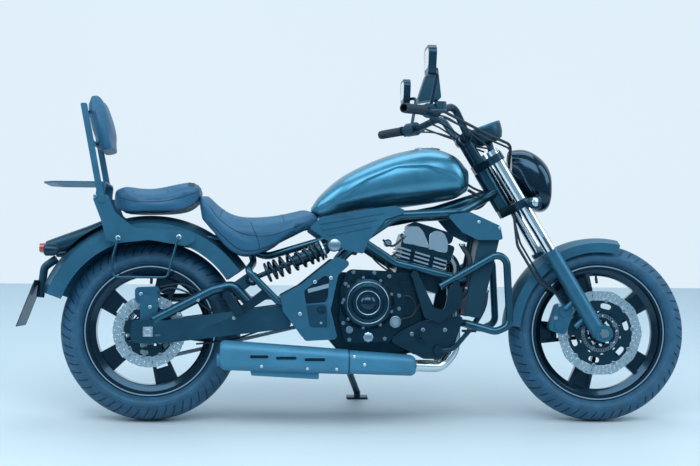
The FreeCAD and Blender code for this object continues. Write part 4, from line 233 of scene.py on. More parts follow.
finishes = {
    "tank_paint": paintFinish("tankPaint", (0.056, 0.225, 0.335), 0.34, metal=0.85, coat=0.4, coatRough=0.2),
    "trim_paint": paintFinish("trimPaint", (0.028, 0.125, 0.200), 0.42, metal=0.6),
    "frame_paint": paintFinish("framePaint", (0.022, 0.088, 0.135), 0.3, metal=0.8, coat=0.12, coatRough=0.2),
    "engine_paint": paintFinish("enginePaint", (0.010, 0.040, 0.062), 0.26, metal=0.8, grain=0.0009, depth=0.00006),
    "gloss_black": paintFinish("glossBlack", (0.007, 0.032, 0.056), 0.18, metal=0.8, coat=0.3, coatRough=0.06,
                               wear=0.03),
    "black_metal": paintFinish("blackMetal", (0.012, 0.044, 0.070), 0.34, metal=0.75),
    "spring_paint": paintFinish("springPaint", (0.006, 0.026, 0.044), 0.2, metal=0.8, coat=0.3, coatRough=0.06),
    "muffler_paint": paintFinish("mufflerPaint", (0.044, 0.190, 0.300), 0.5, metal=0.3, depth=0.00005),
    "header_steel": metalFinish("headerSteel", (0.70, 0.78, 0.82), 0.22),
    "disc_steel": metalFinish("discSteel", (0.60, 0.72, 0.78), 0.3),
    "chain_steel": metalFinish("chainSteel", (0.28, 0.36, 0.42), 0.36),
    "cap_metal": metalFinish("capMetal", (0.30, 0.42, 0.50), 0.3),
    "chrome": metalFinish("chromePlate", (0.82, 0.87, 0.9), 0.1, stain=0.06),
    "tyre_rubber": rubberFinish("tyreRubber", (0.012, 0.070, 0.130), 0.6),
    "grip_rubber": rubberFinish("gripRubber", (0.004, 0.018, 0.032), 0.6),
    "black_plastic": paintFinish("blackPlastic", (0.014, 0.056, 0.088), 0.42, metal=0.7, grain=0.0012, depth=0.00006),
    "clear_lens": glassFinish("clearLens", (0.70, 0.84, 0.92), alpha=0.3),
    "smoked_lens": glassFinish("smokedLens", (0.45, 0.60, 0.70), alpha=0.5),
    "red_lens": paintFinish("redLens", (0.40, 0.010, 0.020), 0.15, coat=1.0, coatRough=0.05),
    "seat_leather": leatherFinish("seatLeather", (0.008, 0.092, 0.180)),
}
print("finishes made:", len(finishes))


# The room: floor, wall, lamps and the photograph's camera

room = {
    "floorHalf": 14.0,
    "wallBehind": 3.1,
    "wallHigh": 6.0,
    "floorColour": (0.62, 0.67, 0.69),
    "wallColour": (0.76, 0.88, 0.965),
    "airColour": (0.42, 0.70, 0.95, 1),
    "airStrength": 0.5,
    "lampColour": (0.80, 0.93, 1.0),
    "keyWatts": 115,
    "rimWatts": 60,
}


def backdropFinish(name, colour, low):
    # seen and mirrored it has its own even colour, and all other light meets it as plain matt paint
    make = finishMaker(name)
    soft = make.noise(1.6, 1.0)
    tone = make.blend(soft, low, colour)
    matte = make.node("BsdfDiffuse", values={"Color": tone})
    glow = make.node("Emission", values={"Color": tone, "Strength": 1.0})
    path = make.tree.nodes.new("ShaderNodeLightPath")
    seen = nodeValue(make, path.outputs["Is Camera Ray"])
    mirrored = nodeValue(make, path.outputs["Is Glossy Ray"])
    through = nodeValue(make, path.outputs["Is Transmission Ray"])
    shown = (seen + mirrored + through).between(0.0, 1.0)
    front = make.node("MixShader", values={0: shown, 1: matte, 2: glow})
    rear = make.node("NewGeometry", output="Backfacing")
    clear = make.node("BsdfTransparent")
    mixed = make.node("MixShader", values={0: rear, 1: front, 2: clear})
    make.tree.links.new(mixed.socket, make.output.inputs[0])
    return make.material


def addStage():
    size, high = room["floorHalf"], room["wallHigh"]
    wall = rearHub[1] + room["wallBehind"]
    floorMesh = makeMesh("studioFloor", [(-size, size, 0), (-size, -size, 0), (size, -size, 0), (size, size, 0)],
                         [(0, 1, 2, 3)])
    wallMesh = makeMesh("studioWall", [(-size, wall, 0), (size, wall, 0), (size, wall, high), (-size, wall, high)],
                        [(0, 1, 2, 3)])
    floorMake = finishMaker("floorPaint")
    soft = floorMake.noise(0.9, 3.0)
    floorPaint = floorMake.surface(
        baseColor=floorMake.blend(soft, [part * 0.96 for part in room["floorColour"]], room["floorColour"]),
        roughness=soft * 0.2 + 0.45)
    wallPaint = backdropFinish("wallPaint", room["wallColour"], [part * 0.97 for part in room["wallColour"]])
    for mesh, paint in ((floorMesh, floorPaint), (wallMesh, wallPaint)):
        mesh.materials.append(paint)
        stagePiece = bpy.data.objects.new(mesh.name, mesh)
        bpy.context.scene.collection.objects.link(stagePiece)


def addLight():
    world = bpy.data.worlds.new("studioAir")
    bpy.context.scene.world = world
    world.use_nodes = True
    tree = world.node_tree
    tree.nodes.clear()
    out = tree.nodes.new("ShaderNodeOutputWorld")
    air = tree.nodes.new("ShaderNodeBackground")
    air.inputs["Color"].default_value = room["airColour"]
    air.inputs["Strength"].default_value = room["airStrength"]
    tree.links.new(air.outputs[0], out.inputs[0])
    places = [
        ("keyLamp", (-0.3, -2.6, 3.4), (4.2, 2.2), room["keyWatts"], (0.0, -0.1, 0.4)),
        ("endLamp", (3.4, -1.2, 2.6), (2.0, 2.6), room["rimWatts"], (0.3, -0.1, 0.5)),
        ("tailLamp", (-3.6, -1.0, 2.6), (2.0, 2.6), room["rimWatts"], (-0.3, -0.1, 0.5)),
        ("topLamp", (0.0, 0.9, 3.6), (4.0, 1.6), room["rimWatts"], (0.0, -0.1, 0.6)),
    ]
    for name, place, size, watts, target in places:
        lamp = bpy.data.lights.new(name, "AREA")
        lamp.shape = "RECTANGLE"
        lamp.size, lamp.size_y = size
        lamp.energy = watts
        lamp.color = room["lampColour"]
        holder = bpy.data.objects.new(name, lamp)
        holder.location = place
        holder.rotation_euler = (Vector(target) - Vector(place)).to_track_quat("-Z", "Y").to_euler()
        bpy.context.scene.collection.objects.link(holder)


camera = {
    "fromRearHub": (0.36987, -4.90248, 0.90754),    # to the lens, in the model's directions
    "turn": 0.0655, "dip": 0.1132, "roll": 0.0169,  # radians to the right, down and clockwise
    "lens": 72.59, "sensor": 36.0,                  # millimetres
    "width": 700, "middle": (350, 233),             # the photograph's pixels
}


def addCamera():
    data = bpy.data.cameras.new("photoCamera")
    data.lens = camera["lens"]
    data.sensor_width = camera["sensor"]
    data.clip_end = 60
    holder = bpy.data.objects.new("photoCamera", data)
    bpy.context.scene.collection.objects.link(holder)
    turn, dip, roll = camera["turn"], camera["dip"], camera["roll"]
    forward = np.array([math.sin(turn) * math.cos(dip), math.cos(turn) * math.cos(dip), -math.sin(dip)])
    level = np.array([math.cos(turn), -math.sin(turn), 0])
    over = np.cross(level, forward)
    right = level * math.cos(roll) + over * math.sin(roll)
    over = over * math.cos(roll) - level * math.sin(roll)
    matrix = np.eye(4)
    matrix[:3, 0], matrix[:3, 1], matrix[:3, 2] = right, over, -forward
    matrix[:3, 3] = rearHub + np.array(camera["fromRearHub"])
    holder.matrix_world = matrix.T.tolist()
    bpy.context.scene.camera = holder


addStage()
addLight()
addCamera()
bpy.context.scene.view_settings.view_transform = "Standard"
print("room ready")


# Building blocks: each gives points in the machine's metres and the faces between them

def gridPart(points, closeRows=False, closeColumns=False):
    # one face between each four neighbours of a grid of points
    rows, columns = points.shape[:2]
    i, j = np.meshgrid(np.arange(rows if closeRows else rows - 1),
                       np.arange(columns if closeColumns else columns - 1), indexing="ij")
    nextRow, nextColumn = (i + 1) % rows, (j + 1) % columns
    faces = np.stack([i * columns + j, i * columns + nextColumn, nextRow * columns + nextColumn,
                      nextRow * columns + j], -1).reshape(-1, 4)
    return points.reshape(-1, 3), faces.tolist()


def smoothLine(points, steps=8):
    # a line that passes through every point, each span a cubic of its four nearest points
    p = np.asarray(points, float)
    p = np.vstack([2 * p[:1] - p[1:2], p, 2 * p[-1:] - p[-2:-1]])
    t = np.linspace(0, 1, steps, endpoint=False)[None, :, None]
    a, b, c, d = p[:-3, None], p[1:-2, None], p[2:-1, None], p[3:, None]
    line = 0.5 * (2 * b + (c - a) * t + (2 * a - 5 * b + 4 * c - d) * t ** 2 + (3 * b - a - 3 * c + d) * t ** 3)
    return np.vstack([line.reshape(-1, p.shape[1]), p[-2:-1]])


def unit(vectors):
    return vectors / np.maximum(np.linalg.norm(vectors, axis=-1, keepdims=True), 1e-9)


def onceRound(count, start=0.0):
    # equal steps of angle once round
    return start + np.linspace(0, 2 * math.pi, count, endpoint=False)


def ringPlaces(radius, count, start=0.0, side=0.0):
    # equal places on a circle that is seen from the machine's side
    turn = onceRound(count, start)
    return np.stack([radius * np.cos(turn), np.full(count, side), radius * np.sin(turn)], -1)


def squared(wave, power):
    # a cosine or sine whose circle becomes a square with round corners
    return np.sign(wave) * np.abs(wave) ** power


def rectangle(left, low, right, high):
    return [(left, low), (right, low), (right, high), (left, high)]


def tubePart(line, radius, sides=12, closed=False, flat=None):
    # circles across the line; flat is the direction that the line keeps clear of
    line = np.asarray(line, float)
    radius = np.broadcast_to(np.asarray(radius, float), (len(line),))
    way = np.roll(line, -1, 0) - np.roll(line, 1, 0) if closed else np.gradient(line, axis=0)
    way = unit(way)
    if flat is None:
        spread = np.linalg.eigh(np.cov((line - line.mean(0)).T) + np.diag([0.0, 1e-12, 0.0]))[1]
        flat = spread[:, 0]
    side = unit(np.cross(way, np.asarray(flat, float)))
    over = np.cross(side, way)
    turn = onceRound(sides)[None, :, None]
    rings = line[:, None] + radius[:, None, None] * (np.cos(turn) * side[:, None] + np.sin(turn) * over[:, None])
    vertices, faces = gridPart(rings, closeRows=closed, closeColumns=True)
    if not closed:
        last = (len(line) - 1) * sides
        faces += [list(range(sides)), list(range(last + sides - 1, last - 1, -1))]
    return vertices, faces


def sideAxes(axis):
    # two directions square to an axis
    axis = unit(np.asarray(axis, float))
    helper = np.array([0.0, 0.0, 1.0]) if abs(axis[2]) < 0.9 else np.array([1.0, 0.0, 0.0])
    side = unit(np.cross(helper, axis))
    return axis, side, np.cross(axis, side)


def turnedPart(profile, centre, axis=(0, -1, 0), count=48, lobes=None):
    # pairs of distance from the axis and place along it, swept once round;
    # lobes changes the distance with the angle
    profile = np.asarray(profile, float)
    axis, side, over = sideAxes(axis)
    turn = onceRound(count)
    reach = profile[:, 0:1] * (1 + (lobes(turn) if lobes else 0 * turn))[None]
    points = (np.asarray(centre, float) + profile[:, 1][:, None, None] * axis
              + reach[..., None] * (np.cos(turn)[:, None] * side + np.sin(turn)[:, None] * over))
    return gridPart(points, closeColumns=True)


def platePart(outline, sideFrom, sideTo, bevel):
    # an outline of x and z pairs made solid between two sides, with a small chamfer round both faces
    outline = np.asarray(outline, float)
    area = np.sum(outline[:, 0] * np.roll(outline[:, 1], -1) - outline[:, 1] * np.roll(outline[:, 0], -1))
    step = unit(np.roll(outline, -1, 0) - outline)
    square = np.stack([step[:, 1], -step[:, 0]], -1) * np.sign(area)
    corner = unit(square + np.roll(square, 1, 0))
    reach = np.sign(sideTo - sideFrom) * bevel
    rings = []
    for inset, side in ((bevel, sideFrom), (0, sideFrom + reach), (0, sideTo - reach), (bevel, sideTo)):
        flat = outline - corner * inset
        rings.append(np.stack([flat[:, 0], np.full(len(flat), side), flat[:, 1]], -1))
    vertices, faces = gridPart(np.array(rings), closeColumns=True)
    count = len(outline)
    faces += [list(range(count)), list(range(4 * count - 1, 3 * count - 1, -1))]
    return vertices, faces


def roundedOutline(outline, radius):
    # each corner of an outline becomes a short curve between its two sides
    p = np.asarray(outline, float)
    back, front = np.roll(p, 1, 0) - p, np.roll(p, -1, 0) - p
    reach = np.minimum(radius, 0.45 * np.minimum(np.linalg.norm(back, axis=1), np.linalg.norm(front, axis=1)))
    start, end = p + unit(back) * reach[:, None], p + unit(front) * reach[:, None]
    t = np.linspace(0, 1, 5)[None, :, None]
    curve = (1 - t) ** 2 * start[:, None] + 2 * t * (1 - t) * p[:, None] + t ** 2 * end[:, None]
    return curve.reshape(-1, 2)


def copies(part, places):
    # the same part at many places
    vertices, faces = part
    return joined([(vertices + place, faces) for place in np.asarray(places, float).reshape(-1, 3)])


def boltParts(places, axis=(0, -1, 0), radius=0.006, high=0.005):
    # flanged bolts: a washer face, a six-sided head and a sunken centre
    rows = ((1.0, 0.0, 0), (1.0, 0.2, 0), (0.92, 0.28, 0), (0.68, 0.3, 1), (0.68, 0.86, 1), (0.6, 1.0, 0.7),
            (0.34, 1.0, 0), (0.3, 0.7, 0), (0.0, 0.7, 0))
    axis, side, over = sideAxes(axis)
    turn = onceRound(18)
    hexagon = 1 / np.cos((turn % (math.pi / 3)) - math.pi / 6)
    around = np.cos(turn)[:, None] * side + np.sin(turn)[:, None] * over
    rings = [tall * high * axis + (radius * wide * (1 + angular * (hexagon - 1)))[:, None] * around
             for wide, tall, angular in rows]
    return copies(gridPart(np.array(rings), closeColumns=True), places)


def piercedRing(centre, inner, outer, sideFrom, sideTo, count, hole, start=0.0, power=2.0, wave=None, corners=16):
    # a flat ring in equal cells with one hole in each; hole is its half width along the ring and across it,
    # and a point of a cell's border and one of its hole share each direction from the middle
    turn = onceRound(corners, math.pi / corners)
    dx, dz = np.cos(turn), np.sin(turn)
    square = 1 / np.maximum(np.abs(dx), np.abs(dz))
    squircle = (np.abs(dx) ** power + np.abs(dz) ** power) ** (-1 / power)
    cell = math.pi / count
    middle = (inner + outer) / 2
    borderTurn, borderReach = cell * dx * square, middle + (outer - inner) / 2 * dz * square
    holeTurn, holeReach = hole[0] / middle * dx * squircle, middle + hole[1] * dz * squircle
    rings = []
    for side, turns, reach in ((sideFrom, holeTurn, holeReach), (sideFrom, borderTurn, borderReach),
                               (sideTo, borderTurn, borderReach), (sideTo, holeTurn, holeReach)):
        angles = start + 2 * cell * np.arange(count)[:, None] + turns[None]
        far = np.broadcast_to(reach[None], angles.shape)
        if wave:
            far = far - wave(angles) * np.clip((far - inner) / (outer - inner), 0, 1) ** 3
        rings.append(np.stack([far * np.cos(angles), np.full(angles.shape, side), far * np.sin(angles)], -1))
    rings = np.array(rings).transpose(1, 0, 2, 3) + np.asarray(centre, float)
    return joined([gridPart(points, closeRows=True, closeColumns=True) for points in rings])


def joined(parts):
    vertices, faces, start = [], [], 0
    for points, cells in parts:
        vertices.append(points)
        faces += [[corner + start for corner in face] for face in cells]
        start += len(points)
    return np.vstack(vertices), faces


def addParts(name, parts, body, finish, replaces=(), angle=35):
    # the parts joined into one piece of the model, with its normals outward
    vertices, faces = joined(parts)
    mesh = makeMesh(name, toModel(vertices), faces)
    work = bmesh.new()
    work.from_mesh(mesh)
    bmesh.ops.remove_doubles(work, verts=work.verts, dist=0.000002)
    bmesh.ops.recalc_face_normals(work, faces=work.faces)
    work.to_mesh(mesh)
    work.free()
    return addPiece(mesh, body, finishes[finish], replaces, angle)


# Wheels

wheels = {
    "rear": {"body": "rear_wheel", "centre": (0.0, 0.0, 0.312), "tyreRadius": 0.312, "half": 0.080, "crown": 0.084,
             "bead": 0.216, "rimHalf": 0.057, "discRadius": 0.125, "discFace": 0.082, "lobes": 0, "band": 0.037,
             "carrierIn": 0.040, "holes": 24, "window": (0.014, 0.0075), "sensorRing": 0.047,
             "hubBolts": 5, "hubBoltRing": 0.052},
    "front": {"body": "front_wheel", "centre": (1.575, 0.0, 0.31277), "tyreRadius": 0.313, "half": 0.060,
              "crown": 0.063, "bead": 0.2286, "rimHalf": 0.041, "discRadius": 0.150, "discFace": 0.064, "lobes": 10,
              "band": 0.034, "carrierIn": 0.044, "holes": 30, "window": (0.019, 0.0095), "sensorRing": 0.068,
              "hubBolts": 5, "hubBoltRing": 0.060},
}
tread = {"pitches": 28, "depth": 0.0042, "wide": 0.0026, "sweep": 0.55, "halfTurn": math.radians(59)}


def addTyre(name, wheel):
    # the section runs from bead to bead; grooves sweep back from the middle, every second one short
    radius, half, crown, bead, rimHalf = (wheel[key] for key in ("tyreRadius", "half", "crown", "bead", "rimHalf"))
    flange = bead + 0.0133
    lean = np.linspace(0, tread["halfTurn"], 17)
    right = np.stack([radius - crown + crown * np.cos(lean), crown * np.sin(lean)], -1)
    shoulder = right[-1]
    wall = flange + (shoulder[0] - flange) * np.linspace(0.97, 0.0, 18)
    share = (shoulder[0] - wall) / (shoulder[0] - flange)
    belly = shoulder[1] + (half - shoulder[1]) * np.sin(np.clip(share / 0.5, 0, 1) * math.pi / 2)
    belly = np.where(share > 0.5, rimHalf + (half - rimHalf) * np.cos((share - 0.5) * math.pi) ** 0.8, belly)
    belly = belly + 0.0011 * (np.abs(share - 0.28) < 0.04) - 0.0008 * (np.abs(share - 0.62) < 0.03)
    side = np.stack([wall, np.minimum(belly, half)], -1)
    foot = np.array([(flange, rimHalf - 0.0044), (bead + 0.0004, rimHalf - 0.0044)])
    right = np.vstack([right, side, foot])
    section = np.vstack([right[:0:-1] * (1, -1), right])
    along = np.gradient(section, axis=0)
    square = unit(np.stack([along[:, 1], -along[:, 0]], -1))
    square *= np.sign(square[:, :1] * (section[:, :1] - flange) + np.abs(section[:, 1:]) * 1e-6 + 1e-9)
    arc = np.concatenate([[0], np.cumsum(np.linalg.norm(np.diff(section, axis=0), axis=1))])
    away = np.abs(arc - arc[len(arc) // 2])
    reach = crown * tread["halfTurn"]
    pitch = 2 * math.pi / tread["pitches"]
    edge = tread["wide"] / radius
    offsets = np.array([-edge * 1.25, -edge * 0.8, edge * 0.8, edge * 1.25, pitch * 0.13, pitch * 0.25, pitch * 0.37])
    offsets = np.concatenate([offsets, offsets + pitch / 2])
    turn = (np.arange(tread["pitches"])[:, None] * pitch + offsets[None]).reshape(-1)
    deep = np.tile([0, 1, 1, 0, 0, 0, 0], 2 * tread["pitches"])
    long = np.tile(np.repeat([True, False], 7), tread["pitches"])

    def fadeBetween(low, high):
        # shares of the crown between which a groove is at its full depth
        inner = np.clip((away - low * reach) / (0.06 * reach), 0, 1)
        return inner * np.clip((high * reach - away) / (0.05 * reach), 0, 1)

    fade = np.where(long[:, None], fadeBetween(0.10, 1.0), fadeBetween(0.46, 1.06))
    sweep = tread["sweep"] * (np.minimum(away, reach * 1.1) / radius) ** 1.25
    angles = turn[:, None] + sweep[None]
    cut = tread["depth"] * deep[:, None] * fade
    far, sideways = (section[None, :, part] - cut * square[None, :, part] for part in (0, 1))
    points = np.stack([far * np.cos(angles), sideways, far * np.sin(angles)], -1) + np.array(wheel["centre"])
    addParts(name + "_tyre_tread", [gridPart(points, closeRows=True, closeColumns=True)], wheel["body"],
             "tyre_rubber", [name + "_tyre"], 40)


def addRimTrim(name, wheel):
    # a bright line on both flanges, and the valve
    centre = np.array(wheel["centre"])
    bead = wheel["bead"]
    steps = ((0.0045, -0.001), (0.0045, 0.0006), (0.0085, 0.0006), (0.0085, -0.001))
    lines = [turnedPart([(bead + out, -face * (wheel["rimHalf"] + over)) for out, over in steps], centre, count=120)
             for face in (-1, 1)]
    addParts(name + "_rim_line", lines, wheel["body"], "chrome")
    stem = np.array([(0.0, -0.006, bead - 0.020), (0.0, -0.010, bead - 0.034), (0.0, -0.020, bead - 0.050)]) + centre
    cap = tubePart(stem[1:] + (0, -0.001, -0.002), 0.0052, 8)
    addParts(name + "_valve", [tubePart(smoothLine(stem, 4), 0.0042, 12), cap], wheel["body"], "grip_rubber")


def addDisc(name, wheel):
    # drilled band with a wavy edge, its carrier with windows, bobbins and bolts, and the slotted sensor ring
    body, centre = wheel["body"], np.array(wheel["centre"])
    radius, inner = wheel["discRadius"], wheel["discRadius"] - wheel["band"]
    near, far = -wheel["discFace"], -wheel["discFace"] - 0.005

    def ripple(turn):
        return 0.0035 * (0.5 - 0.5 * np.cos(turn * wheel["lobes"]))

    width = (radius - inner) / 3
    band = []
    for row in range(3):
        low = inner + row * width
        wave = ripple if wheel["lobes"] and row == 2 else None
        band.append(piercedRing(centre, low, low + width, near, far, wheel["holes"], (0.0024, 0.0024),
                                row * math.pi / wheel["holes"] * 0.9, wave=wave))
    addParts(name + "_brake_band", band, body, "disc_steel", [name + "_disc"], 30)
    middle = wheel["carrierIn"] + 0.45 * (inner - wheel["carrierIn"])
    spider = [piercedRing(centre, middle, inner - 0.001, near - 0.0002, far + 0.0002, 6, wheel["window"], 0.3,
                          power=3.2, corners=28),
              piercedRing(centre, wheel["carrierIn"], middle + 0.0002, near - 0.0002, far + 0.0002, 10,
                          (0.0045, 0.0045), 0.1)]
    addParts(name + "_disc_carrier", spider, body, "black_metal", (), 30)
    button = turnedPart([(0, 0), (0.0072, 0), (0.0072, 0.0014), (0.0058, 0.0022), (0.0040, 0.0022), (0.0036, 0.0008),
                         (0, 0.0008)], (0, 0, 0), count=16)
    bobbins = copies(button, centre + ringPlaces(inner, 10, 0.12, far))
    bolts = boltParts(centre + ringPlaces(wheel["hubBoltRing"], wheel["hubBolts"], 0.5, far), radius=0.0085, high=0.006)
    addParts(name + "_disc_bolts", [bobbins, bolts], body, "chain_steel")
    slots = piercedRing(centre, wheel["sensorRing"] - 0.013, wheel["sensorRing"], far - 0.0022, far - 0.0038, 44,
                        (0.0022, 0.0042), power=4, corners=8)
    addParts(name + "_sensor_ring", [slots], body, "chain_steel", (), 30)


for wheelName, wheelSizes in wheels.items():
    addTyre(wheelName, wheelSizes)
    addRimTrim(wheelName, wheelSizes)
    addDisc(wheelName, wheelSizes)
print("wheels dressed")


# Drive chain: plates, rollers and pins along the run between the two sprockets

chainRun = {"pitch": 0.015875, "rearTeeth": 42, "frontTeeth": 15, "plane": 0.097, "output": (0.6399225, 0.393),
            "plateRadius": 0.0066, "outerSide": 0.0060, "innerSide": 0.0042}


def addChain():
    # the run is two arcs and two straights; a link's plates lie between neighbouring pins
    pitch, plateRadius = chainRun["pitch"], chainRun["plateRadius"]
    rearReach = pitch / (2 * math.sin(math.pi / chainRun["rearTeeth"]))
    frontReach = pitch / (2 * math.sin(math.pi / chainRun["frontTeeth"]))
    spanX, spanZ = chainRun["output"][0], chainRun["output"][1] - machine["rearAxleHigh"]
    span, slope = math.hypot(spanX, spanZ), math.atan2(spanZ, spanX)
    lift = math.asin((rearReach - frontReach) / span)
    straight = span * math.cos(lift)
    rearTurn, frontTurn = math.pi + 2 * lift, math.pi - 2 * lift
    total = 2 * straight + rearTurn * rearReach + frontTurn * frontReach
    count = 2 * round(total / pitch / 2)
    way = total * np.arange(count) / count
    topAngle, lowAngle = slope + math.pi / 2 - lift, slope - math.pi / 2 + lift
    marks = np.cumsum([straight, frontTurn * frontReach, straight])
    rearEnd, frontEnd = np.array([0.0, machine["rearAxleHigh"]]), np.array(chainRun["output"])

    def spot(centre, reach, angle):
        angle = np.asarray(angle, float)
        return centre + reach * np.stack([np.cos(angle), np.sin(angle)], -1)

    def onward(angle, start):
        # the way along the straight that begins at this angle of an arc
        return (way - start)[:, None] * np.array([math.cos(angle - math.pi / 2), math.sin(angle - math.pi / 2)])

    top = spot(rearEnd, rearReach, topAngle) + onward(topAngle, 0.0)
    nose = spot(frontEnd, frontReach, topAngle - (way - marks[0]) / frontReach)
    low = spot(frontEnd, frontReach, lowAngle) + onward(lowAngle, marks[1])
    tail = spot(rearEnd, rearReach, lowAngle - (way - marks[2]) / rearReach)
    pins = np.select([(way < mark)[:, None] for mark in marks], [top, nose, low], tail)
    following = np.roll(pins, -1, 0)
    along = unit(following - pins)
    over = np.stack([-along[:, 1], along[:, 0]], -1)
    corners = 20
    turn = onceRound(corners)
    outlineX = np.where(np.cos(turn) > 0, 1, 0) * pitch + plateRadius * np.cos(turn)
    waist = 1 - 0.28 * np.exp(-((outlineX - pitch / 2) / 0.004) ** 2)
    outlineZ = plateRadius * np.sin(turn) * waist
    outerLink = (np.arange(count) % 2 == 0)[:, None, None]
    rings = []
    for side in (-1, 1):
        for inset, reach in ((0.0008, 0.0), (0.0, 0.0004), (0.0, 0.0012), (0.0008, 0.0016)):
            shrink = 1 - inset / plateRadius
            flat = (pins[:, None] + outlineX[None, :, None] * along[:, None]
                    + shrink * outlineZ[None, :, None] * over[:, None])
            place = np.where(outerLink, chainRun["outerSide"], chainRun["innerSide"]) + reach
            sideways = chainRun["plane"] + side * np.broadcast_to(place, flat[..., :1].shape)
            rings.append(np.concatenate([flat[..., :1], sideways, flat[..., 1:]], -1))
    rings = np.array(rings).transpose(1, 0, 2, 3)
    caps = [list(range(corners)), list(range(4 * corners - 1, 3 * corners - 1, -1))]
    parts = []
    for link in rings:
        for half in (link[:4], link[4:]):
            vertices, faces = gridPart(half, closeColumns=True)
            parts.append((vertices, faces + caps))
    roller = turnedPart([(0, -0.0082), (0.0026, -0.0082), (0.0026, -0.0041), (0.0049, -0.0040), (0.0049, 0.0040),
                         (0.0026, 0.0041), (0.0026, 0.0082), (0, 0.0082)], (0, 0, 0), (0, 1, 0), 10)
    parts.append(copies(roller, np.stack([pins[:, 0], np.full(count, chainRun["plane"]), pins[:, 1]], -1)))
    addParts("chain_links", parts, "chassis", "chain_steel", ["drive_chain"])


addChain()


# Shock absorber: damper, coil spring, collars, adjuster and eyes; lengths along it are shares of its reach

shock = {"top": (0.6320475, -0.128, 0.613), "low": (0.3520125, -0.128, 0.494), "springRadius": 0.0315,
         "wire": 0.0055, "turns": 7.5}


def addShock():
    top, low = np.array(shock["top"]), np.array(shock["low"])
    reach = np.linalg.norm(top - low)
    axis, side, over = sideAxes((top - low) / reach)
    first, last = 0.2 * reach + 0.006, 0.8 * reach + 0.004
    share = np.linspace(0, 1, int(shock["turns"] * 26))
    closeEnds = share - 0.045 * np.sin(2 * math.pi * share)
    turn = share * 2 * math.pi * shock["turns"]
    line = (low + (first + (last - first) * np.clip(closeEnds, 0, 1))[:, None] * axis
            + shock["springRadius"] * 0.95 * (np.cos(turn)[:, None] * side + np.sin(turn)[:, None] * over))
    addParts("shock_spring", [tubePart(line, shock["wire"], 12, flat=axis)], "chassis", "spring_paint",
             ["shock_absorber"])

    def turned(profile, count, lobes=None):
        return turnedPart([(far, along * reach) for far, along in profile], low, axis, count, lobes)

    def notch(turns):
        return 0.05 * (np.cos(turns * 12) > 0.3)

    damper = turned([(0, 0), (0.012, 0), (0.012, 0.05), (0.0085, 0.06), (0.0085, 0.5), (0.019, 0.5), (0.0205, 0.52),
                     (0.0205, 0.9), (0.015, 0.93), (0, 1)], 28)
    collarLow = turned([(0.012, 0.165), (0.030, 0.17), (0.0348, 0.178), (0.0348, 0.2), (0.022, 0.205),
                        (0.012, 0.205)], 36)
    collarTop = turned([(0.020, 0.815), (0.0348, 0.815), (0.0348, 0.838), (0.028, 0.845), (0.020, 0.845)], 36)
    addParts("shock_damper", [damper, collarLow, collarTop], "chassis", "black_metal")
    ring = turned([(0.020, 0.852), (0.030, 0.852), (0.031, 0.856), (0.031, 0.874), (0.030, 0.878), (0.020, 0.878)],
                  72, notch)
    addParts("shock_adjuster", [ring], "chassis", "disc_steel", (), 25)
    eyes = []
    for place, deep in ((top, 0.0236), (low, 0.012)):
        eyes.append(turnedPart([(0.008, -0.012), (0.021, -0.012), (0.0238, -0.009), (0.0238, deep - 0.003),
                                (0.021, deep), (0.015, deep), (0.0145, deep - 0.003), (0, deep - 0.003)],
                               place, count=32))
    addParts("shock_eyes", eyes, "chassis", "engine_paint")
    heads = [top + (0, -0.0212, 0), low + (0, -0.0095, 0)]
    addParts("shock_bolts", [boltParts(heads, radius=0.0115, high=0.008)], "chassis", "chain_steel")


addShock()
print("chain and shock dressed")


# Places found on the CAD's own surfaces

nodeTrees = {}


def surfaceOf(node):
    # a search tree over a CAD node's faces, made once
    if node not in nodeTrees:
        mesh = frame["nodes"][node].data
        mesh.calc_loop_triangles()
        corners = np.empty(len(mesh.vertices) * 3)
        mesh.vertices.foreach_get("co", corners)
        triangles = np.empty(len(mesh.loop_triangles) * 3, np.int32)
        mesh.loop_triangles.foreach_get("vertices", triangles)
        nodeTrees[node] = BVHTree.FromPolygons(corners.reshape(-1, 3).tolist(), triangles.reshape(-1, 3).tolist())
    return nodeTrees[node]


def onSide(tree, places, face=-1, lift=0.0):
    # machine points where lines from the rider's side, at each x and z, first meet the surface
    found = []
    direction = Vector((-face * across).tolist())
    for x, z in places:
        start = Vector(toModel(np.array([x, face * 0.7, z])).tolist())
        hit = tree.ray_cast(start, direction)[0]
        if hit is not None:
            found.append((x, float(np.dot(np.array(hit) - rearHub, across)) + face * lift, z))
    return np.array(found).reshape(-1, 3)


def onTop(tree, places, lift=0.0):
    # the same from above, at each x and y
    found = []
    direction = Vector((-upward).tolist())
    for x, y in places:
        start = Vector(toModel(np.array([x, y, 1.6])).tolist())
        hit = tree.ray_cast(start, direction)[0]
        if hit is not None:
            found.append((x, y, float(np.dot(np.array(hit) - rearHub, upward)) + machine["rearAxleHigh"] + lift))
    return np.array(found).reshape(-1, 3)


def treeOf(piece):
    corners = [corner.co.copy() for corner in piece.data.vertices]
    return BVHTree.FromPolygons(corners, [list(face.vertices) for face in piece.data.polygons])


# Fuel tank: a teardrop with a creased side, a lip round its foot and a seam along the top

tank = {"rear": 0.555975, "front": 1.104075, "base": 0.706, "top": 0.959, "half": 0.142, "round": 0.8,
        "crease": ((0.56, 0.742), (0.62, 0.765), (0.678, 0.797), (0.746, 0.845), (0.849, 0.889), (0.951, 0.894),
                   (1.053, 0.862), (1.104, 0.80)),
        "creaseDeep": 0.0042, "creaseWide": 0.009, "capAt": 0.96799}
tankStations = ((0.00, 0.30, 0.06, 0.16), (0.06, 0.52, 0.00, 0.34), (0.20, 0.80, 0.04, 0.60), (0.41, 0.97, 0.12, 0.83),
                (0.60, 1.00, 0.18, 0.96), (0.78, 0.97, 0.24, 1.00), (0.92, 0.86, 0.30, 0.90), (1.00, 0.62, 0.40, 0.72))


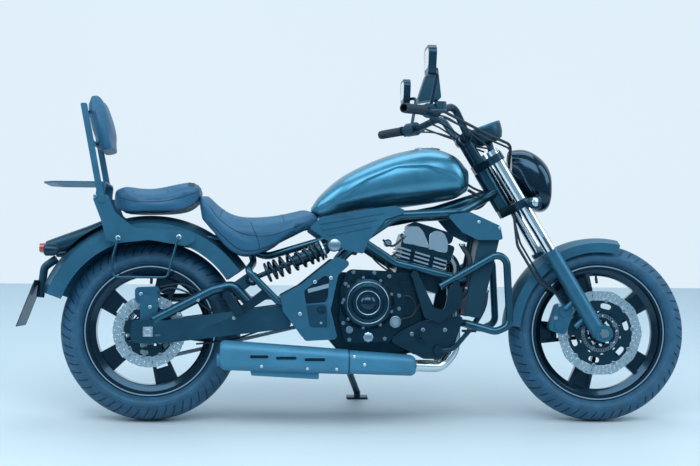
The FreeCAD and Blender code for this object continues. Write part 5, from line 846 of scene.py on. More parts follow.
def addTank():
    # each station has its place along, its width, its low and its high, as shares of the tank's own
    line = smoothLine(np.array(tankStations), 14)
    turn = onceRound(144)
    low, high = (tank["base"] + line[:, part] * (tank["top"] - tank["base"]) for part in (2, 3))
    y = tank["half"] * line[:, 1:2] * squared(np.cos(turn), tank["round"])
    z = ((low + high) / 2)[:, None] + ((high - low) / 2)[:, None] * squared(np.sin(turn), tank["round"])
    x = np.broadcast_to((tank["rear"] + line[:, 0] * (tank["front"] - tank["rear"]))[:, None], y.shape)
    crease = np.interp(x[:, 0], *np.array(tank["crease"]).T)[:, None]
    under = np.clip((crease - z) / tank["creaseWide"], 0, 1)
    under = under * under * (3 - 2 * under)
    outer = np.clip((np.abs(y) / tank["half"] - 0.35) / 0.3, 0, 1)
    foot = np.clip((z - z.min(1, keepdims=True) - 0.016) / 0.006, 0, 1)
    y = y - np.sign(y) * (tank["creaseDeep"] * under * outer * foot + 0.0012 * outer * (1 - foot))
    z = z - 0.0012 * np.exp(-(np.abs(y) / 0.0022) ** 2) * (z > crease)
    points = np.stack([x, y, z], -1)
    ends = [row.mean(0) + (row - row.mean(0)) * 0.3 for row in (points[0], points[-1])]
    points = np.concatenate([ends[0][None], points, ends[1][None]])
    vertices, faces = gridPart(points, closeColumns=True)
    columns = points.shape[1]
    faces += [list(range(columns)), list(range(len(vertices) - 1, len(vertices) - 1 - columns, -1))]
    tree = treeOf(addParts("tank_shell", [(vertices, faces)], "chassis", "tank_paint", ["fuel_tank"], 50))
    place = onTop(tree, [(tank["capAt"], 0.0)])[0]

    def notches(turns):
        return -0.02 * (np.cos(turns * 6) > 0.86)

    ring = turnedPart([(0.046, -0.004), (0.046, 0.0015), (0.044, 0.0026), (0.037, 0.0026), (0.036, 0.001),
                       (0.036, -0.004)], place, (0, 0, 1), 60)
    lid = turnedPart([(0.035, -0.004), (0.035, 0.003), (0.033, 0.0048), (0.012, 0.0056), (0.0115, 0.0042),
                      (0.0, 0.0042)], place, (0, 0, 1), 60, notches)
    flap = rectangle(tank["capAt"] - 0.022, 0.0, tank["capAt"] + 0.022, 0.002)
    flap = platePart(roundedOutline(flap, 0.001), -0.006, 0.006, 0.0005)
    flap = (flap[0] + [0, 0, place[2] + 0.0046], flap[1])
    addParts("tank_cap", [ring, lid, flap], "chassis", "cap_metal", ["filler_cap"])
    turn = onceRound(5)
    bolts = place + np.stack([0.0405 * np.cos(turn), 0.0405 * np.sin(turn), 0.0024 + 0 * turn], -1)
    addParts("tank_cap_bolts", [boltParts(bolts, (0, 0, 1), 0.0032, 0.0022)], "chassis", "chain_steel")
    return tree


tankTree = addTank()


# Seats: each padded form swells from its CAD solid, and its seams and piping lie on the swollen surface

padding = {"voxel": 0.005, "shrink": 0.004, "pressure": 4.0, "stiffness": 30, "base": 0.16, "frames": 20,
           "mostMove": 0.008, "evenSteps": 6}


def addPad(node, name):
    # the solid drawn in, remeshed, blown up by the cloth's pressure and kept near where it started
    piece = addPiece(mergedCopy(node), bodyOf[node], finishes["seat_leather"], [node], 180)
    piece.name = name
    mesh = piece.data
    count = len(mesh.vertices)
    place, normal = np.empty(count * 3), np.empty(count * 3)
    mesh.vertices.foreach_get("co", place)
    mesh.vertices.foreach_get("normal", normal)
    mesh.vertices.foreach_set("co", place - normal * padding["shrink"])
    bpy.context.view_layer.objects.active = piece
    piece.select_set(True)
    remesh = piece.modifiers.new("voxels", "REMESH")
    remesh.mode = "VOXEL"
    remesh.voxel_size = padding["voxel"]
    bpy.ops.object.modifier_apply(modifier="voxels")
    start = np.empty(len(piece.data.vertices) * 3)
    piece.data.vertices.foreach_get("co", start)
    start = start.reshape(-1, 3)
    high = (start - rearHub) @ upward
    low, top = high.min(), high.max()
    group = piece.vertex_groups.new(name="base")
    group.add(np.nonzero(high < low + padding["base"] * (top - low))[0].tolist(), 1.0, "REPLACE")
    cloth = piece.modifiers.new("swell", "CLOTH")
    cloth.settings.use_pressure = True
    cloth.settings.uniform_pressure_force = padding["pressure"]
    cloth.settings.vertex_group_mass = "base"
    cloth.settings.effector_weights.gravity = 0.0
    cloth.settings.tension_stiffness = padding["stiffness"]
    cloth.point_cache.frame_end = padding["frames"]
    for frameNumber in range(1, padding["frames"] + 1):
        bpy.context.scene.frame_set(frameNumber)
    grown = piece.evaluated_get(bpy.context.evaluated_depsgraph_get())
    swollen = np.empty(len(grown.data.vertices) * 3)
    grown.data.vertices.foreach_get("co", swollen)
    piece.modifiers.remove(cloth)
    piece.vertex_groups.clear()
    bpy.context.scene.frame_set(1)
    move = swollen.reshape(-1, 3) - start
    long = np.linalg.norm(move, axis=1, keepdims=True)
    move *= np.minimum(1.0, padding["mostMove"] / np.maximum(long, 1e-9))
    piece.data.vertices.foreach_set("co", (start + move).ravel())
    smooth = piece.modifiers.new("even", "SMOOTH")
    smooth.factor, smooth.iterations = 0.5, padding["evenSteps"]
    bpy.ops.object.modifier_apply(modifier="even")
    smoothMesh(piece.data, 180)
    piece.select_set(False)
    return treeOf(piece)


def seamOn(tree, lines, radius, sideways=True, face=-1):
    # cords laid on a surface along lines seen from the side or from above
    parts = []
    for line in lines:
        route = smoothLine(line, 10)
        points = onSide(tree, route, face) if sideways else onTop(tree, route)
        if len(points) > 3:
            smoothed = points.copy()
            for _ in range(3):
                smoothed[1:-1] = 0.25 * smoothed[:-2] + 0.5 * smoothed[1:-1] + 0.25 * smoothed[2:]
            parts.append(tubePart(smoothed, radius, 8))
    return parts


riderTree = addPad("rider_seat", "rider_pad")
pillionTree = addPad("passenger_seat", "passenger_pad")
addPad("backrest_pad", "backrest_cushion")
sideSeams = [
    (riderTree, 0.0013, [[(0.205, 0.742), (0.235, 0.700), (0.300, 0.655), (0.380, 0.640), (0.450, 0.655),
                          (0.530, 0.690)],
                         [(0.345, 0.688), (0.358, 0.655), (0.372, 0.620), (0.376, 0.600)]]),
    (pillionTree, 0.0013, [[(-0.105, 0.770), (-0.05, 0.757), (0.04, 0.757), (0.12, 0.777), (0.165, 0.795)]]),
    (pillionTree, 0.0024, [[(-0.108, 0.728), (-0.04, 0.722), (0.05, 0.724), (0.12, 0.735), (0.165, 0.765)]]),
    (riderTree, 0.0024, [[(0.200, 0.690), (0.250, 0.640), (0.300, 0.598), (0.350, 0.590), (0.420, 0.612),
                          (0.500, 0.652), (0.560, 0.684)]]),
]
topSeams = [
    (riderTree, [[(0.24, -0.13), (0.25, -0.06), (0.252, 0.0), (0.25, 0.06), (0.24, 0.13)],
                 [(0.46, -0.10), (0.45, -0.05), (0.448, 0.0), (0.45, 0.05), (0.46, 0.10)]]),
    (pillionTree, [[(-0.06, -0.10), (-0.065, 0.0), (-0.06, 0.10)], [(0.06, -0.11), (0.056, 0.0), (0.06, 0.11)]]),
]
seams = []
for sideFace in (-1, 1):
    for tree, radius, lines in sideSeams:
        seams += seamOn(tree, lines, radius, face=sideFace)
for tree, lines in topSeams:
    seams += seamOn(tree, lines, 0.0013, sideways=False)
addParts("seat_seams", seams, "chassis", "grip_rubber")
strap = onTop(pillionTree, [(x, y) for x in (0.128, 0.150) for y in np.linspace(-0.112, 0.112, 24)], 0.0016)
strap = strap.reshape(2, -1, 3)
strapPoints = np.concatenate([strap, strap[::-1] - (0, 0, 0.003)])
addParts("seat_strap", [gridPart(strapPoints, closeRows=True)], "chassis", "grip_rubber")
print("tank and seats made")


# Engine: bolts, rings, oil glass and plugs

def boltsOn(name, node, places, radius, high, face=-1):
    found = onSide(surfaceOf(node), places, face, -0.0003)
    addParts(name, [boltParts(found, (0, face, 0), radius, high)], "chassis", "chain_steel")


def ringOn(node, x, z, profile, face=-1, count=48, lobes=None):
    # a turned ring set on a surface; its profile's places are counted from that surface
    return turnedPart(profile, onSide(surfaceOf(node), [(x, z)], face)[0], (0, face, 0), count, lobes)


def plugLobes(turns):
    return 0.06 * np.cos(turns * 8)


wheelbase = machine["frontAxleAhead"]
caseBolts = [(0.4432, 0.519), (0.4889, 0.518), (0.5219, 0.506), (0.5435, 0.440), (0.5435, 0.395), (0.5124, 0.292),
             (0.4349, 0.288), (0.4216, 0.345), (0.4222, 0.424), (0.4260, 0.479)]
boltsOn("case_bolts_right", "right_covers", [(share * wheelbase, z) for share, z in caseBolts], 0.0068, 0.006)
clutch = np.array([0.74702, 0.415])
boltsOn("clutch_bolts", "right_covers", clutch + ringPlaces(0.0865, 9, 0.35)[:, ::2], 0.0058, 0.005)
rims = [[(0.0415, -0.004), (0.0415, 0.0016), (0.0405, 0.0022), (0.0392, 0.0016), (0.0388, -0.004)],
        [(0.0722, -0.030), (0.0722, -0.0118), (0.0708, -0.0110), (0.0694, -0.0118), (0.0694, -0.030)]]
clutchParts = [ringOn("right_covers", clutch[0] + 0.0001, clutch[1], rim, count=96) for rim in rims]
addParts("clutch_rings", clutchParts, "chassis", "cap_metal")
glaze = ringOn("right_covers", clutch[0] + 0.0001, clutch[1],
               [(0.0, 0.0125), (0.008, 0.0120), (0.017, 0.0092), (0.0245, 0.0045), (0.0268, 0.0014), (0.030, 0.0012),
                (0.0378, 0.0004), (0.0385, -0.003)], count=72)
addParts("clutch_glaze", [glaze], "chassis", "gloss_black")
oilGlass = (0.842940, 0.350)
plugs = [ringOn("right_covers", *oilGlass, [(0.0195, -0.002), (0.0195, 0.0018), (0.0175, 0.0026), (0.0145, 0.0022),
                                            (0.0140, 0.0), (0.0140, -0.002)]),
         ringOn("right_covers", 0.684968, 0.322, [(0.0, 0.0026), (0.011, 0.0026), (0.0128, 0.0012), (0.0128, -0.001)]),
         ringOn("right_covers", 0.750015, 0.297, [(0.0, 0.006), (0.0125, 0.0058), (0.0165, 0.0035), (0.0172, 0.0),
                                                  (0.0172, -0.002)], lobes=plugLobes)]
addParts("case_plugs", plugs, "chassis", "cap_metal")
pane = ringOn("right_covers", *oilGlass, [(0.0, 0.0014), (0.010, 0.0012), (0.0139, 0.0004), (0.0139, -0.001)])
addParts("oil_glass", [pane], "chassis", "smoked_lens")
leftBolts = [(0.4540, 0.510), (0.4889, 0.514), (0.5240, 0.508), (0.5440, 0.430), (0.5400, 0.350), (0.4540, 0.340)]
boltsOn("case_bolts_left", "left_covers", [(share * wheelbase, z) for share, z in leftBolts], 0.0068, 0.006, 1)
generator = ringPlaces(0.078, 8, 0.2)[:, ::2] + (0.770018, 0.395)
boltsOn("generator_bolts", "left_covers", generator, 0.0058, 0.005, 1)
plug = [ringOn("left_covers", 0.7701, 0.3951, [(0.0, 0.004), (0.014, 0.0035), (0.017, 0.001), (0.017, -0.001)], 1),
        ringOn("left_covers", 0.7701, 0.3951, [(0.041, -0.002), (0.041, 0.0012), (0.039, 0.002), (0.036, 0.0012),
                                               (0.0355, -0.002)], 1, 64)]
addParts("generator_plug", plug, "chassis", "cap_metal")
print("engine dressed")


# Muffler: three slots with their rims, rivets and the seam band

muffler = {"seamAt": 0.682, "seamMiddle": (-0.152, 0.2127), "seamHalf": (0.0505, 0.0423), "slotHigh": 0.013,
           "slots": ((0.346, 0.410, 0.231), (0.433, 0.505, 0.227), (0.530, 0.602, 0.222)),
           "rivets": ((0.386, 0.199), (0.541, 0.192), (0.640, 0.190), (0.700, 0.232), (0.735, 0.205))}
mufflerTree = surfaceOf("muffler")
slotParts, rimParts = [], []
turn = onceRound(28)
for first, last, z in muffler["slots"]:
    high = muffler["slotHigh"] / 2
    reach = (last - first) / 2 - high
    middle = (first + last) / 2
    outline = np.stack([middle + np.sign(np.cos(turn)) * reach + high * np.cos(turn), z + high * np.sin(turn)], -1)
    y = onSide(mufflerTree, [(middle, z)])[0][1]
    slotParts.append(platePart(outline, y + 0.006, y - 0.0004, 0.0002))
    rim = np.stack([outline[:, 0], np.full(len(outline), y - 0.0006), outline[:, 1]], -1)
    rimParts.append(tubePart(rim, 0.0011, 8, closed=True, flat=(0, 1, 0)))
addParts("muffler_slots", slotParts, "chassis", "gloss_black")
addParts("muffler_slot_rims", rimParts, "chassis", "muffler_paint")
rivet = turnedPart([(0, 0.0022), (0.003, 0.002), (0.0052, 0.0008), (0.0056, -0.001)], (0, 0, 0), count=16)
addParts("muffler_rivets", [copies(rivet, onSide(mufflerTree, muffler["rivets"]))], "chassis", "disc_steel")
turn = onceRound(72)
seamRound = (squared(np.cos(turn), 0.6), squared(np.sin(turn), 0.6))
seamRing = np.stack([np.full(72, muffler["seamAt"])] + [middle + half * wave for middle, half, wave in zip(
    muffler["seamMiddle"], muffler["seamHalf"], seamRound)], -1)
addParts("muffler_seam", [tubePart(seamRing, 0.0016, 8, closed=True, flat=(1, 0, 0))], "chassis", "black_metal")
print("muffler dressed")


# Places read from the photograph: each pixel's line of sight, met with a side plane or a CAD surface

def sightLines(pixels):
    matrix = np.array(bpy.context.scene.camera.matrix_world)
    right, over, back, place = matrix[:3, 0], matrix[:3, 1], matrix[:3, 2], matrix[:3, 3]
    pixels = np.asarray(pixels, float).reshape(-1, 2) - camera["middle"]
    focal = camera["lens"] / camera["sensor"] * camera["width"]
    return place, -back + pixels[:, :1] / focal * right - pixels[:, 1:] / focal * over


def toMachine(points):
    points = np.asarray(points, float) - rearHub
    return np.stack([points @ ahead, points @ across, points @ upward + machine["rearAxleHigh"]], -1)


def seenAt(places):
    # triples of pixel column, pixel row and machine side become machine points
    places = np.asarray(places, float).reshape(-1, 3)
    start, ways = sightLines(places[:, :2])
    reach = (places[:, 2] - (start - rearHub) @ across) / (ways @ across)
    return toMachine(start + reach[:, None] * ways)


def seenOn(tree, pixels, lift=0.0):
    # machine points where the lines of sight first meet a surface
    start, ways = sightLines(pixels)
    found = []
    for way in ways:
        hit = tree.ray_cast(Vector(start.tolist()), Vector(way.tolist()))[0]
        if hit is not None:
            found.append(toMachine(np.array(hit)) + (0, -lift, 0))
    return np.array(found).reshape(-1, 3)


def seenPlate(pixels, side, radius, sideFrom, sideTo, bevel):
    # an outline of pixels on the plane at that side, its corners rounded by the radius, made a plate
    outline = seenAt([(x, y, side) for x, y in pixels])[:, ::2]
    return platePart(roundedOutline(outline, radius) if radius else outline, sideFrom, sideTo, bevel)


def addHoses(name, body, runs):
    # each run has its triples, its radius and, where it isn't 10, the number of its sides
    parts = [tubePart(smoothLine(seenAt(run[0]), 8), run[1], run[2] if len(run) > 2 else 10) for run in runs]
    addParts(name, parts, body, "grip_rubber")


def boltsSeen(name, node, pixels, radius, high, finish="chain_steel", body="chassis"):
    found = seenOn(surfaceOf(node), pixels, -0.0003)
    if len(found):
        addParts(name, [boltParts(found, (0, -1, 0), radius, high)], body, finish)


# Frame, covers and rear: bolts, the pivot cover, axle adjusters, the small spring and lines

for seenBolts in (
        ("side_plate_bolts", "backrest_frame", [(118, 238), (179, 237)], 0.0085, 0.006, "disc_steel"),
        ("rack_bolts", "backrest_frame", [(92, 189), (95, 196)], 0.0065, 0.005),
        ("pivot_cover_bolts", "side_covers", [(315, 282), (331, 278), (300, 314), (321, 323)], 0.0062, 0.005,
         "disc_steel"),
        ("panel_bolts", "side_covers", [(479, 222), (500, 228)], 0.0055, 0.004, "disc_steel"),
        ("bracket_bolts", "footrests", [(423, 330), (412, 334), (396, 345), (445, 330)], 0.0072, 0.006),
        ("arm_bolts", "swingarm", [(198, 300), (234, 318), (178, 313)], 0.0060, 0.005, "disc_steel"),
        ("guard_bolts", "engine_guards", [(442, 293)], 0.0080, 0.008, "disc_steel")):
    boltsSeen(*seenBolts)
coverSide = -0.150
spot = seenOn(surfaceOf("side_covers"), [(312, 296)])
if len(spot):
    face = spot[0][1]
    recess = seenPlate([(308, 279), (332, 272), (331, 288), (325, 302), (299, 304), (301, 291)], coverSide, 0.006,
                       face + 0.004, face - 0.0012, 0.0008)
    addParts("pivot_recess", [recess], "chassis", "gloss_black")
    bridge = seenPlate([(307, 289), (330, 283), (331, 287), (308, 293)], coverSide, 0.003, face, face - 0.0040, 0.0010)
    addParts("pivot_bridge", [bridge], "chassis", "disc_steel")
    knob = turnedPart([(0, 0.007), (0.006, 0.007), (0.008, 0.005), (0.0135, 0.005), (0.0150, 0.002), (0.0150, -0.002)],
                      spot[0] + (0.033, 0.0, -0.048), count=24)
    addParts("pivot_knob", [knob], "chassis", "black_metal")
cap = turnedPart([(0, 0.0092), (0.016, 0.0092), (0.0195, 0.0070), (0.0200, 0.0), (0.0235, 0.0), (0.0240, -0.018)],
                 (shock["top"][0], -0.1640, shock["top"][2]), count=40)
addParts("shock_cap", [cap], "chassis", "cap_metal")
adjuster = {"half": 0.0165, "inner": 0.1515, "outer": 0.1545, "marks": 5, "markStep": 0.004}
adjusters = []
for sideFace in (-1, 1):
    half, high = adjuster["half"], machine["rearAxleHigh"]
    plate = roundedOutline(rectangle(-half, high - half, half, high + half), 0.003)
    adjusters.append(platePart(plate, sideFace * adjuster["inner"], sideFace * adjuster["outer"], 0.0008))
    adjusters.append(turnedPart([(0, 0.0195), (0.0085, 0.0195), (0.0105, 0.0175), (0.0105, 0.0105), (half, 0.0095),
                                 (half, 0.0)], (0, sideFace * adjuster["outer"], high), (0, sideFace, 0), 6))
addParts("axle_adjusters", adjusters, "chassis", "disc_steel", (), 30)
markStarts = [0.024 + adjuster["markStep"] * mark for mark in range(adjuster["marks"])]
marks = [roundedOutline(rectangle(start, 0.297, start + 0.0012, 0.303), 0.0003) for start in markStarts]
addParts("adjuster_scale", [platePart(mark, -0.1455, -0.1466, 0.0002) for mark in marks], "chassis", "disc_steel")
spring = {"ends": [(243, 318, -0.100), (217, 291, -0.100)], "turns": 11, "radius": 0.0085, "wire": 0.0016}
springLow, springTop = seenAt(spring["ends"])
way, sideWay, overWay = sideAxes(springTop - springLow)
share = np.linspace(0, 1, 20 * spring["turns"])[:, None]
turn = share * 2 * math.pi * spring["turns"]
coil = (springLow + share * (springTop - springLow)
        + spring["radius"] * (np.cos(turn) * sideWay + np.sin(turn) * overWay))
rod = tubePart(np.array([springLow - way * 0.004, springTop + way * 0.004]), 0.0045, 10)
addParts("return_spring", [tubePart(coil, spring["wire"], 8, flat=way), rod], "chassis", "black_metal")
addHoses("rear_lines", "chassis", (
    ([(158, 292, -0.112), (172, 288, -0.116), (190, 294, -0.118), (206, 308, -0.112), (228, 318, -0.102)], 0.0034),
    ([(160, 287, -0.112), (180, 284, -0.112), (196, 290, -0.110), (212, 303, -0.106)], 0.0026),
    ([(196, 344, -0.118), (230, 340, -0.112), (262, 330, -0.108), (285, 322, -0.100)], 0.0030)))
boltsSeen("rear_caliper_bolts", "rear_caliper", [(141, 294), (158, 300), (150, 307)], 0.0060, 0.005, "disc_steel")


# Engine bay: hoses with their clips, and ports

addHoses("engine_hoses", "chassis", (
    ([(462, 245, -0.10), (470, 262, -0.118), (466, 290, -0.120), (452, 305, -0.110)], 0.0095, 14),
    ([(398, 252, -0.112), (386, 262, -0.126), (392, 272, -0.120), (404, 280, -0.100)], 0.0045),
    ([(383, 240, -0.105), (392, 246, -0.122), (401, 240, -0.120), (410, 232, -0.100)], 0.0040),
    ([(396, 300, -0.128), (408, 296, -0.135), (416, 306, -0.132), (410, 322, -0.128)], 0.0038),
    ([(388, 330, -0.138), (400, 320, -0.142), (412, 316, -0.136), (420, 304, -0.126)], 0.0032),
    ([(376, 355, -0.130), (392, 358, -0.134), (410, 352, -0.128), (428, 356, -0.118)], 0.0034),
    ([(380, 248, -0.095), (372, 256, -0.108), (384, 268, -0.112), (398, 276, -0.100)], 0.0030),
    ([(470, 330, -0.06), (478, 318, -0.075), (484, 305, -0.070), (486, 290, -0.060)], 0.0100, 14)))
clip = [(0.0098, -0.004), (0.0112, -0.004), (0.0112, 0.004), (0.0098, 0.004)]
clipPlaces = seenAt([(462, 245, -0.10), (466, 288, -0.119), (470, 329, -0.061), (486, 291, -0.0605)])
clips = [turnedPart(clip, middle, (0.1, 0.0, 1.0), 24) for middle in clipPlaces]
addParts("hose_clips", clips, "chassis", "disc_steel")
ports = []
for column, row, radius, deep in ((388, 243, 0.011, 0.018), (379, 251, 0.008, 0.014), (403, 236, 0.007, 0.016)):
    profile = [(0, deep), (radius * 0.7, deep), (radius, deep * 0.8), (radius, 0.2 * deep), (radius * 1.2, 0),
               (radius * 1.2, -0.03)]
    ports.append(turnedPart(profile, seenAt([(column, row, -0.105)])[0], count=20))
addParts("inlet_ports", ports, "chassis", "cap_metal")
print("bay and rear dressed")


# Cockpit: ribbed grips, lamp with its reflector, and mirror glass

def nodePoints(node):
    return toMachine(np.array([corner.co for corner in frame["nodes"][node].data.vertices]))


gripSizes = {"radius": 0.0158, "ribHigh": 0.0009, "ribWaves": 18, "flangeHigh": 0.0024, "bore": 0.0128}
grips = nodePoints("grips")
gripParts = []
for sideFace in (-1, 1):
    own = grips[grips[:, 1] * sideFace > 0]
    spread = own - own.mean(0)
    way = np.linalg.eigh(spread.T @ spread)[1][:, 2]
    way = way * np.sign(way[1] * sideFace)
    reach = (spread @ way).max()
    share = np.linspace(-1, 1, 120)
    ribbed = (np.sin(share * math.pi * gripSizes["ribWaves"]) > 0) & (np.abs(share) < 0.86)
    far = gripSizes["radius"] + gripSizes["ribHigh"] * ribbed + gripSizes["flangeHigh"] * (share < -0.93)
    bore = gripSizes["bore"]
    profile = np.concatenate([[(bore, -reach)], np.stack([far, share * reach], -1), [(bore, reach)]])
    gripParts.append(turnedPart(profile, own.mean(0), way, 32))
addParts("grip_sleeves", gripParts, "steering", "grip_rubber", ["grips"], 25)


def facets(turns):
    return 0.012 * np.abs(np.sin(turns * 12))


lamp = nodePoints("headlamp_lens")
lampHigh, lampRear = (lamp[:, 2].max() - lamp[:, 2].min()) / 2, lamp[:, 0].min()
lampDeep, lampMiddle = lamp[:, 0].max() - lampRear, lamp.mean(0)
lampPlace = np.array([lampRear, lampMiddle[1], lampMiddle[2]])
rows = np.linspace(0, 1, 16)
dome = np.stack([lampHigh * 0.985 * np.sin(rows * math.pi / 2),
                 lampDeep * (0.35 + 0.65 * np.cos(rows * math.pi / 2)) - 0.001], -1)
lens = turnedPart(np.concatenate([dome, [(lampHigh * 0.985, 0.002)]]), lampPlace, (1, 0, 0), 64)
addParts("lamp_lens", [lens], "steering", "clear_lens", ["headlamp_lens"], 60)
bowl = np.stack([lampHigh * 0.93 * rows, -0.004 + lampDeep * 0.32 * rows ** 2], -1)
bulb = turnedPart([(0, 0.016), (0.006, 0.015), (0.010, 0.008), (0.010, -0.004)], lampPlace, (1, 0, 0), 24)
addParts("lamp_reflector", [turnedPart(bowl, lampPlace + (0.004, 0, 0), (1, 0, 0), 96, facets), bulb],
         "steering", "chrome", (), 30)

mirror = {"headsAbove": 1.178, "roundness": 0.55,
          "steps": ((0.80, 0.0), (0.80, -0.0006), (0.76, -0.0012), (0.0, -0.0014))}
mirrorPoints = nodePoints("mirrors")
glassParts = []
for sideFace in (-1, 1):
    head = mirrorPoints[(mirrorPoints[:, 1] * sideFace > 0) & (mirrorPoints[:, 2] > mirror["headsAbove"])]
    low, high = head.min(0), head.max(0)
    middle, half = (low + high) / 2, (high - low) / 2
    turn = onceRound(36)
    rings = []
    for size, step in mirror["steps"]:
        rings.append(np.stack([np.full(36, low[0] + 0.0004 + step),
                               middle[1] + half[1] * size * squared(np.cos(turn), mirror["roundness"]),
                               middle[2] + half[2] * size * squared(np.sin(turn), mirror["roundness"])], -1))
    glassParts.append(gridPart(np.array(rings), closeColumns=True))
addParts("mirror_glass", glassParts, "steering", "chrome")
print("cockpit dressed")


# Front end: caliper, brace and clamp bolts, the axle's nut and brake lines

boltsSeen("front_caliper_bolts", "front_caliper", [(573, 305), (576, 320), (556, 318), (560, 305)], 0.0066, 0.006,
          "disc_steel", "steering")
boltsSeen("brace_bolts", "front_mudguard", [(545, 252), (556, 238), (548, 262)], 0.0058, 0.005, body="steering")
boltsSeen("clamp_bolts", "fork_clamps", [(536, 196), (520, 152), (528, 208)], 0.0058, 0.006, body="steering")
nut = turnedPart([(0, 0.004), (0.009, 0.004), (0.011, 0.002), (0.0150, 0.002), (0.0165, 0.0), (0.0165, -0.004)],
                 wheels["front"]["centre"] + np.array([0, -0.137, 0]), count=6)
addParts("front_axle_nut", [nut], "steering", "disc_steel", (), 30)
addHoses("front_lines", "steering", (
    ([(540, 232, -0.120), (552, 252, -0.128), (560, 272, -0.122), (566, 292, -0.112)], 0.0034),
    ([(548, 240, -0.115), (557, 262, -0.120), (570, 284, -0.108)], 0.0022)))
print("front end dressed")


# Bright fins, the cylinder's pale cover, the pivot's flap, and the crowded space round the steering head

fins = {"runs": ((397, 411), (415, 430), (434, 447)), "rows": 5, "top": 246, "slope": 0.3, "step": (-0.8, 3.9),
        "thick": 2.0}    # in the photograph's pixels
cylinderTree = surfaceOf("cylinder_block")
finParts = []
for first, last in fins["runs"]:
    for row in range(fins["rows"]):
        near, far = (column + fins["step"][0] * row for column in (first, last))
        drop, fall = (fins["top"] + fins["slope"] * (column - 398) + fins["step"][1] * row for column in (first, last))
        strip = np.array([(near, drop), (far, fall), (far, fall + fins["thick"]), (near, drop + fins["thick"])])
        spots = seenOn(cylinderTree, strip.mean(0))
        if len(spots):
            face = spots[0][1]
            finParts.append(seenPlate(strip, face, 0, face + 0.02, face - 0.003, 0.0006))
addParts("fin_edges", finParts, "chassis", "header_steel")
finSide = onSide(cylinderTree, [(0.93, 0.575), (0.90, 0.60), (0.98, 0.56), (0.93, 0.60)])[:, 1].min()
lobes = [[(403, 241), (404, 230), (410, 226), (419, 226), (424, 231), (427, 240), (430, 248), (404, 243)],
         [(429, 249), (430, 234), (436, 230), (445, 233), (449, 242), (448, 253), (441, 252)]]
lobeParts = [seenPlate(outline, -0.125, 0.008, finSide + 0.012, finSide - 0.003, 0.0018) for outline in lobes]
addParts("cam_cover_lobes", lobeParts, "chassis", "header_steel")
spot = seenOn(surfaceOf("side_covers"), [(312, 320)])
if len(spot):
    flap = seenPlate([(299, 306), (325, 304), (327, 325), (321, 334), (306, 334), (298, 323)], coverSide, 0.008,
                     spot[0][1] + 0.004, spot[0][1] - 0.0026, 0.0012)
    addParts("pivot_flap", [flap], "chassis", "frame_paint")
addHoses("bar_cables", "steering", (
    ([(430, 119, -0.262), (442, 124, -0.205), (456, 133, -0.120), (468, 142, -0.066), (477, 146, -0.040),
      (484, 145, -0.020)], 0.0034),
    ([(426, 122, -0.255), (440, 128, -0.200), (453, 137, -0.115), (464, 146, -0.062), (472, 150, -0.036),
      (480, 150, -0.016)], 0.0030),
    ([(432, 114, -0.250), (448, 118, -0.190), (466, 130, -0.120), (482, 142, -0.085), (492, 150, -0.070),
      (502, 158, -0.060)], 0.0030),
    ([(414, 132, 0.262), (436, 133, 0.180), (458, 140, 0.100), (474, 148, 0.045), (484, 152, 0.025)], 0.0032)))
addHoses("head_wiring", "chassis", (
    ([(468, 190, -0.040), (475, 194, -0.046), (482, 197, -0.043), (489, 197, -0.030)], 0.0055, 14),
    ([(467, 184, -0.036), (473, 188, -0.042), (480, 191, -0.040), (487, 193, -0.026)], 0.0042),
    ([(466, 204, -0.046), (473, 209, -0.052), (481, 207, -0.048), (488, 200, -0.030)], 0.0038)))
podPlace = seenAt([(486.0, 133.0, 0.0)])[0]
podTurn = (-0.36, 0, 0.933)
can = turnedPart([(0, -0.040), (0.034, -0.040), (0.049, -0.031), (0.057, -0.012), (0.0600, 0.010), (0.0600, 0.020),
                  (0.0580, 0.0235), (0.0535, 0.0235), (0.0525, 0.0195), (0, 0.0195)], podPlace, podTurn, 56)
foot = tubePart(smoothLine(seenAt([(489, 143, 0.0), (491, 150, 0.0), (491, 157, 0.0)]), 8), 0.012, 16)
addParts("instrument_can", [can, foot], "steering", "black_plastic", ["instrument_pod"])
ring = turnedPart([(0.0600, 0.0175), (0.0610, 0.0205), (0.0595, 0.0250), (0.0560, 0.0262), (0.0530, 0.0240),
                   (0.0530, 0.0215)], podPlace, podTurn, 56)
addParts("instrument_ring", [ring], "steering", "trim_paint")
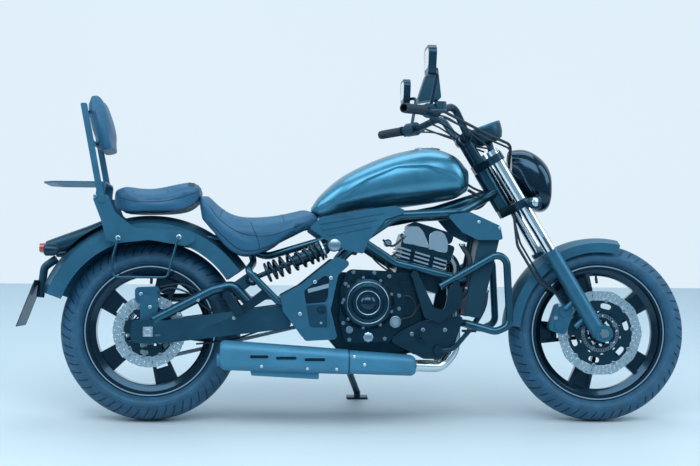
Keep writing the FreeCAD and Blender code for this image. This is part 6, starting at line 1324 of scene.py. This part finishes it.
dial = turnedPart([(0, 0.0232), (0.024, 0.0229), (0.0532, 0.0212), (0.0532, 0.0200), (0, 0.0200)],
                  podPlace, podTurn, 48)
addParts("instrument_glass", [dial], "steering", "clear_lens")
stripPixels = [(444, 151), (452, 157), (459, 165), (464, 175), (465, 183), (462, 189), (455, 193)]
stripPath = seenOn(tankTree, stripPixels, -0.001)
addParts("tank_strip", [tubePart(smoothLine(stripPath, 8), 0.0048, 12)], "chassis", "black_metal")
lampSpot = seenOn(surfaceOf("front_signals"), [(536, 202)])
if len(lampSpot):
    profile = [(0, 0.006), (0.008, 0.005), (0.014, 0.002), (0.016, -0.003), (0, -0.003)]
    lens = [turnedPart(profile, lampSpot[0] * (1, turn, 1), (0.55, -turn * 0.83, 0), 28) for turn in (1, -1)]
    addParts("signal_lenses", lens, "steering", "disc_steel")
print("fins, cover and cables made")


# CAD nodes that keep their shape get a merged, smoothed copy with its own finish

nodeFinish = {
    "trim_paint": ["front_caliper", "rear_caliper", "fork_sliders", "rear_mudguard", "front_mudguard", "side_covers",
                   "luggage_rack", "backrest_frame"],
    "frame_paint": ["frame_head", "frame_sides", "subframe_rails", "engine_guards", "swingarm", "bag_wires"],
    "engine_paint": ["crankcase", "cylinder_block", "right_covers", "left_covers"],
    "gloss_black": ["front_rim", "rear_rim", "headlamp_cowl"],
    "black_metal": ["fork_clamps", "handlebar", "side_stand", "stand_bracket", "pivot_bolt", "front_signals",
                    "rear_signals", "mirrors", "footrests", "foot_controls", "pillion_pegs"],
    "muffler_paint": ["muffler"],
    "header_steel": ["exhaust_headers"],
    "disc_steel": ["rear_sprocket"],
    "chain_steel": ["front_sprocket", "rear_axle", "front_axle"],
    "chrome": ["fork_tubes"],
    "grip_rubber": ["control_lines"],
    "black_plastic": ["hand_controls", "radiator", "tail_cowl", "plate_holder", "chain_guard"],
    "red_lens": ["tail_lamp"],
}
for slotName, names in nodeFinish.items():
    for name in names:
        shell = mergedCopy(name)
        if "custom_normal" in shell.attributes:
            shell.attributes.remove(shell.attributes["custom_normal"])
        addPiece(shell, bodyOf[name], finishes[slotName], [name], 32)
print("CAD shells dressed")
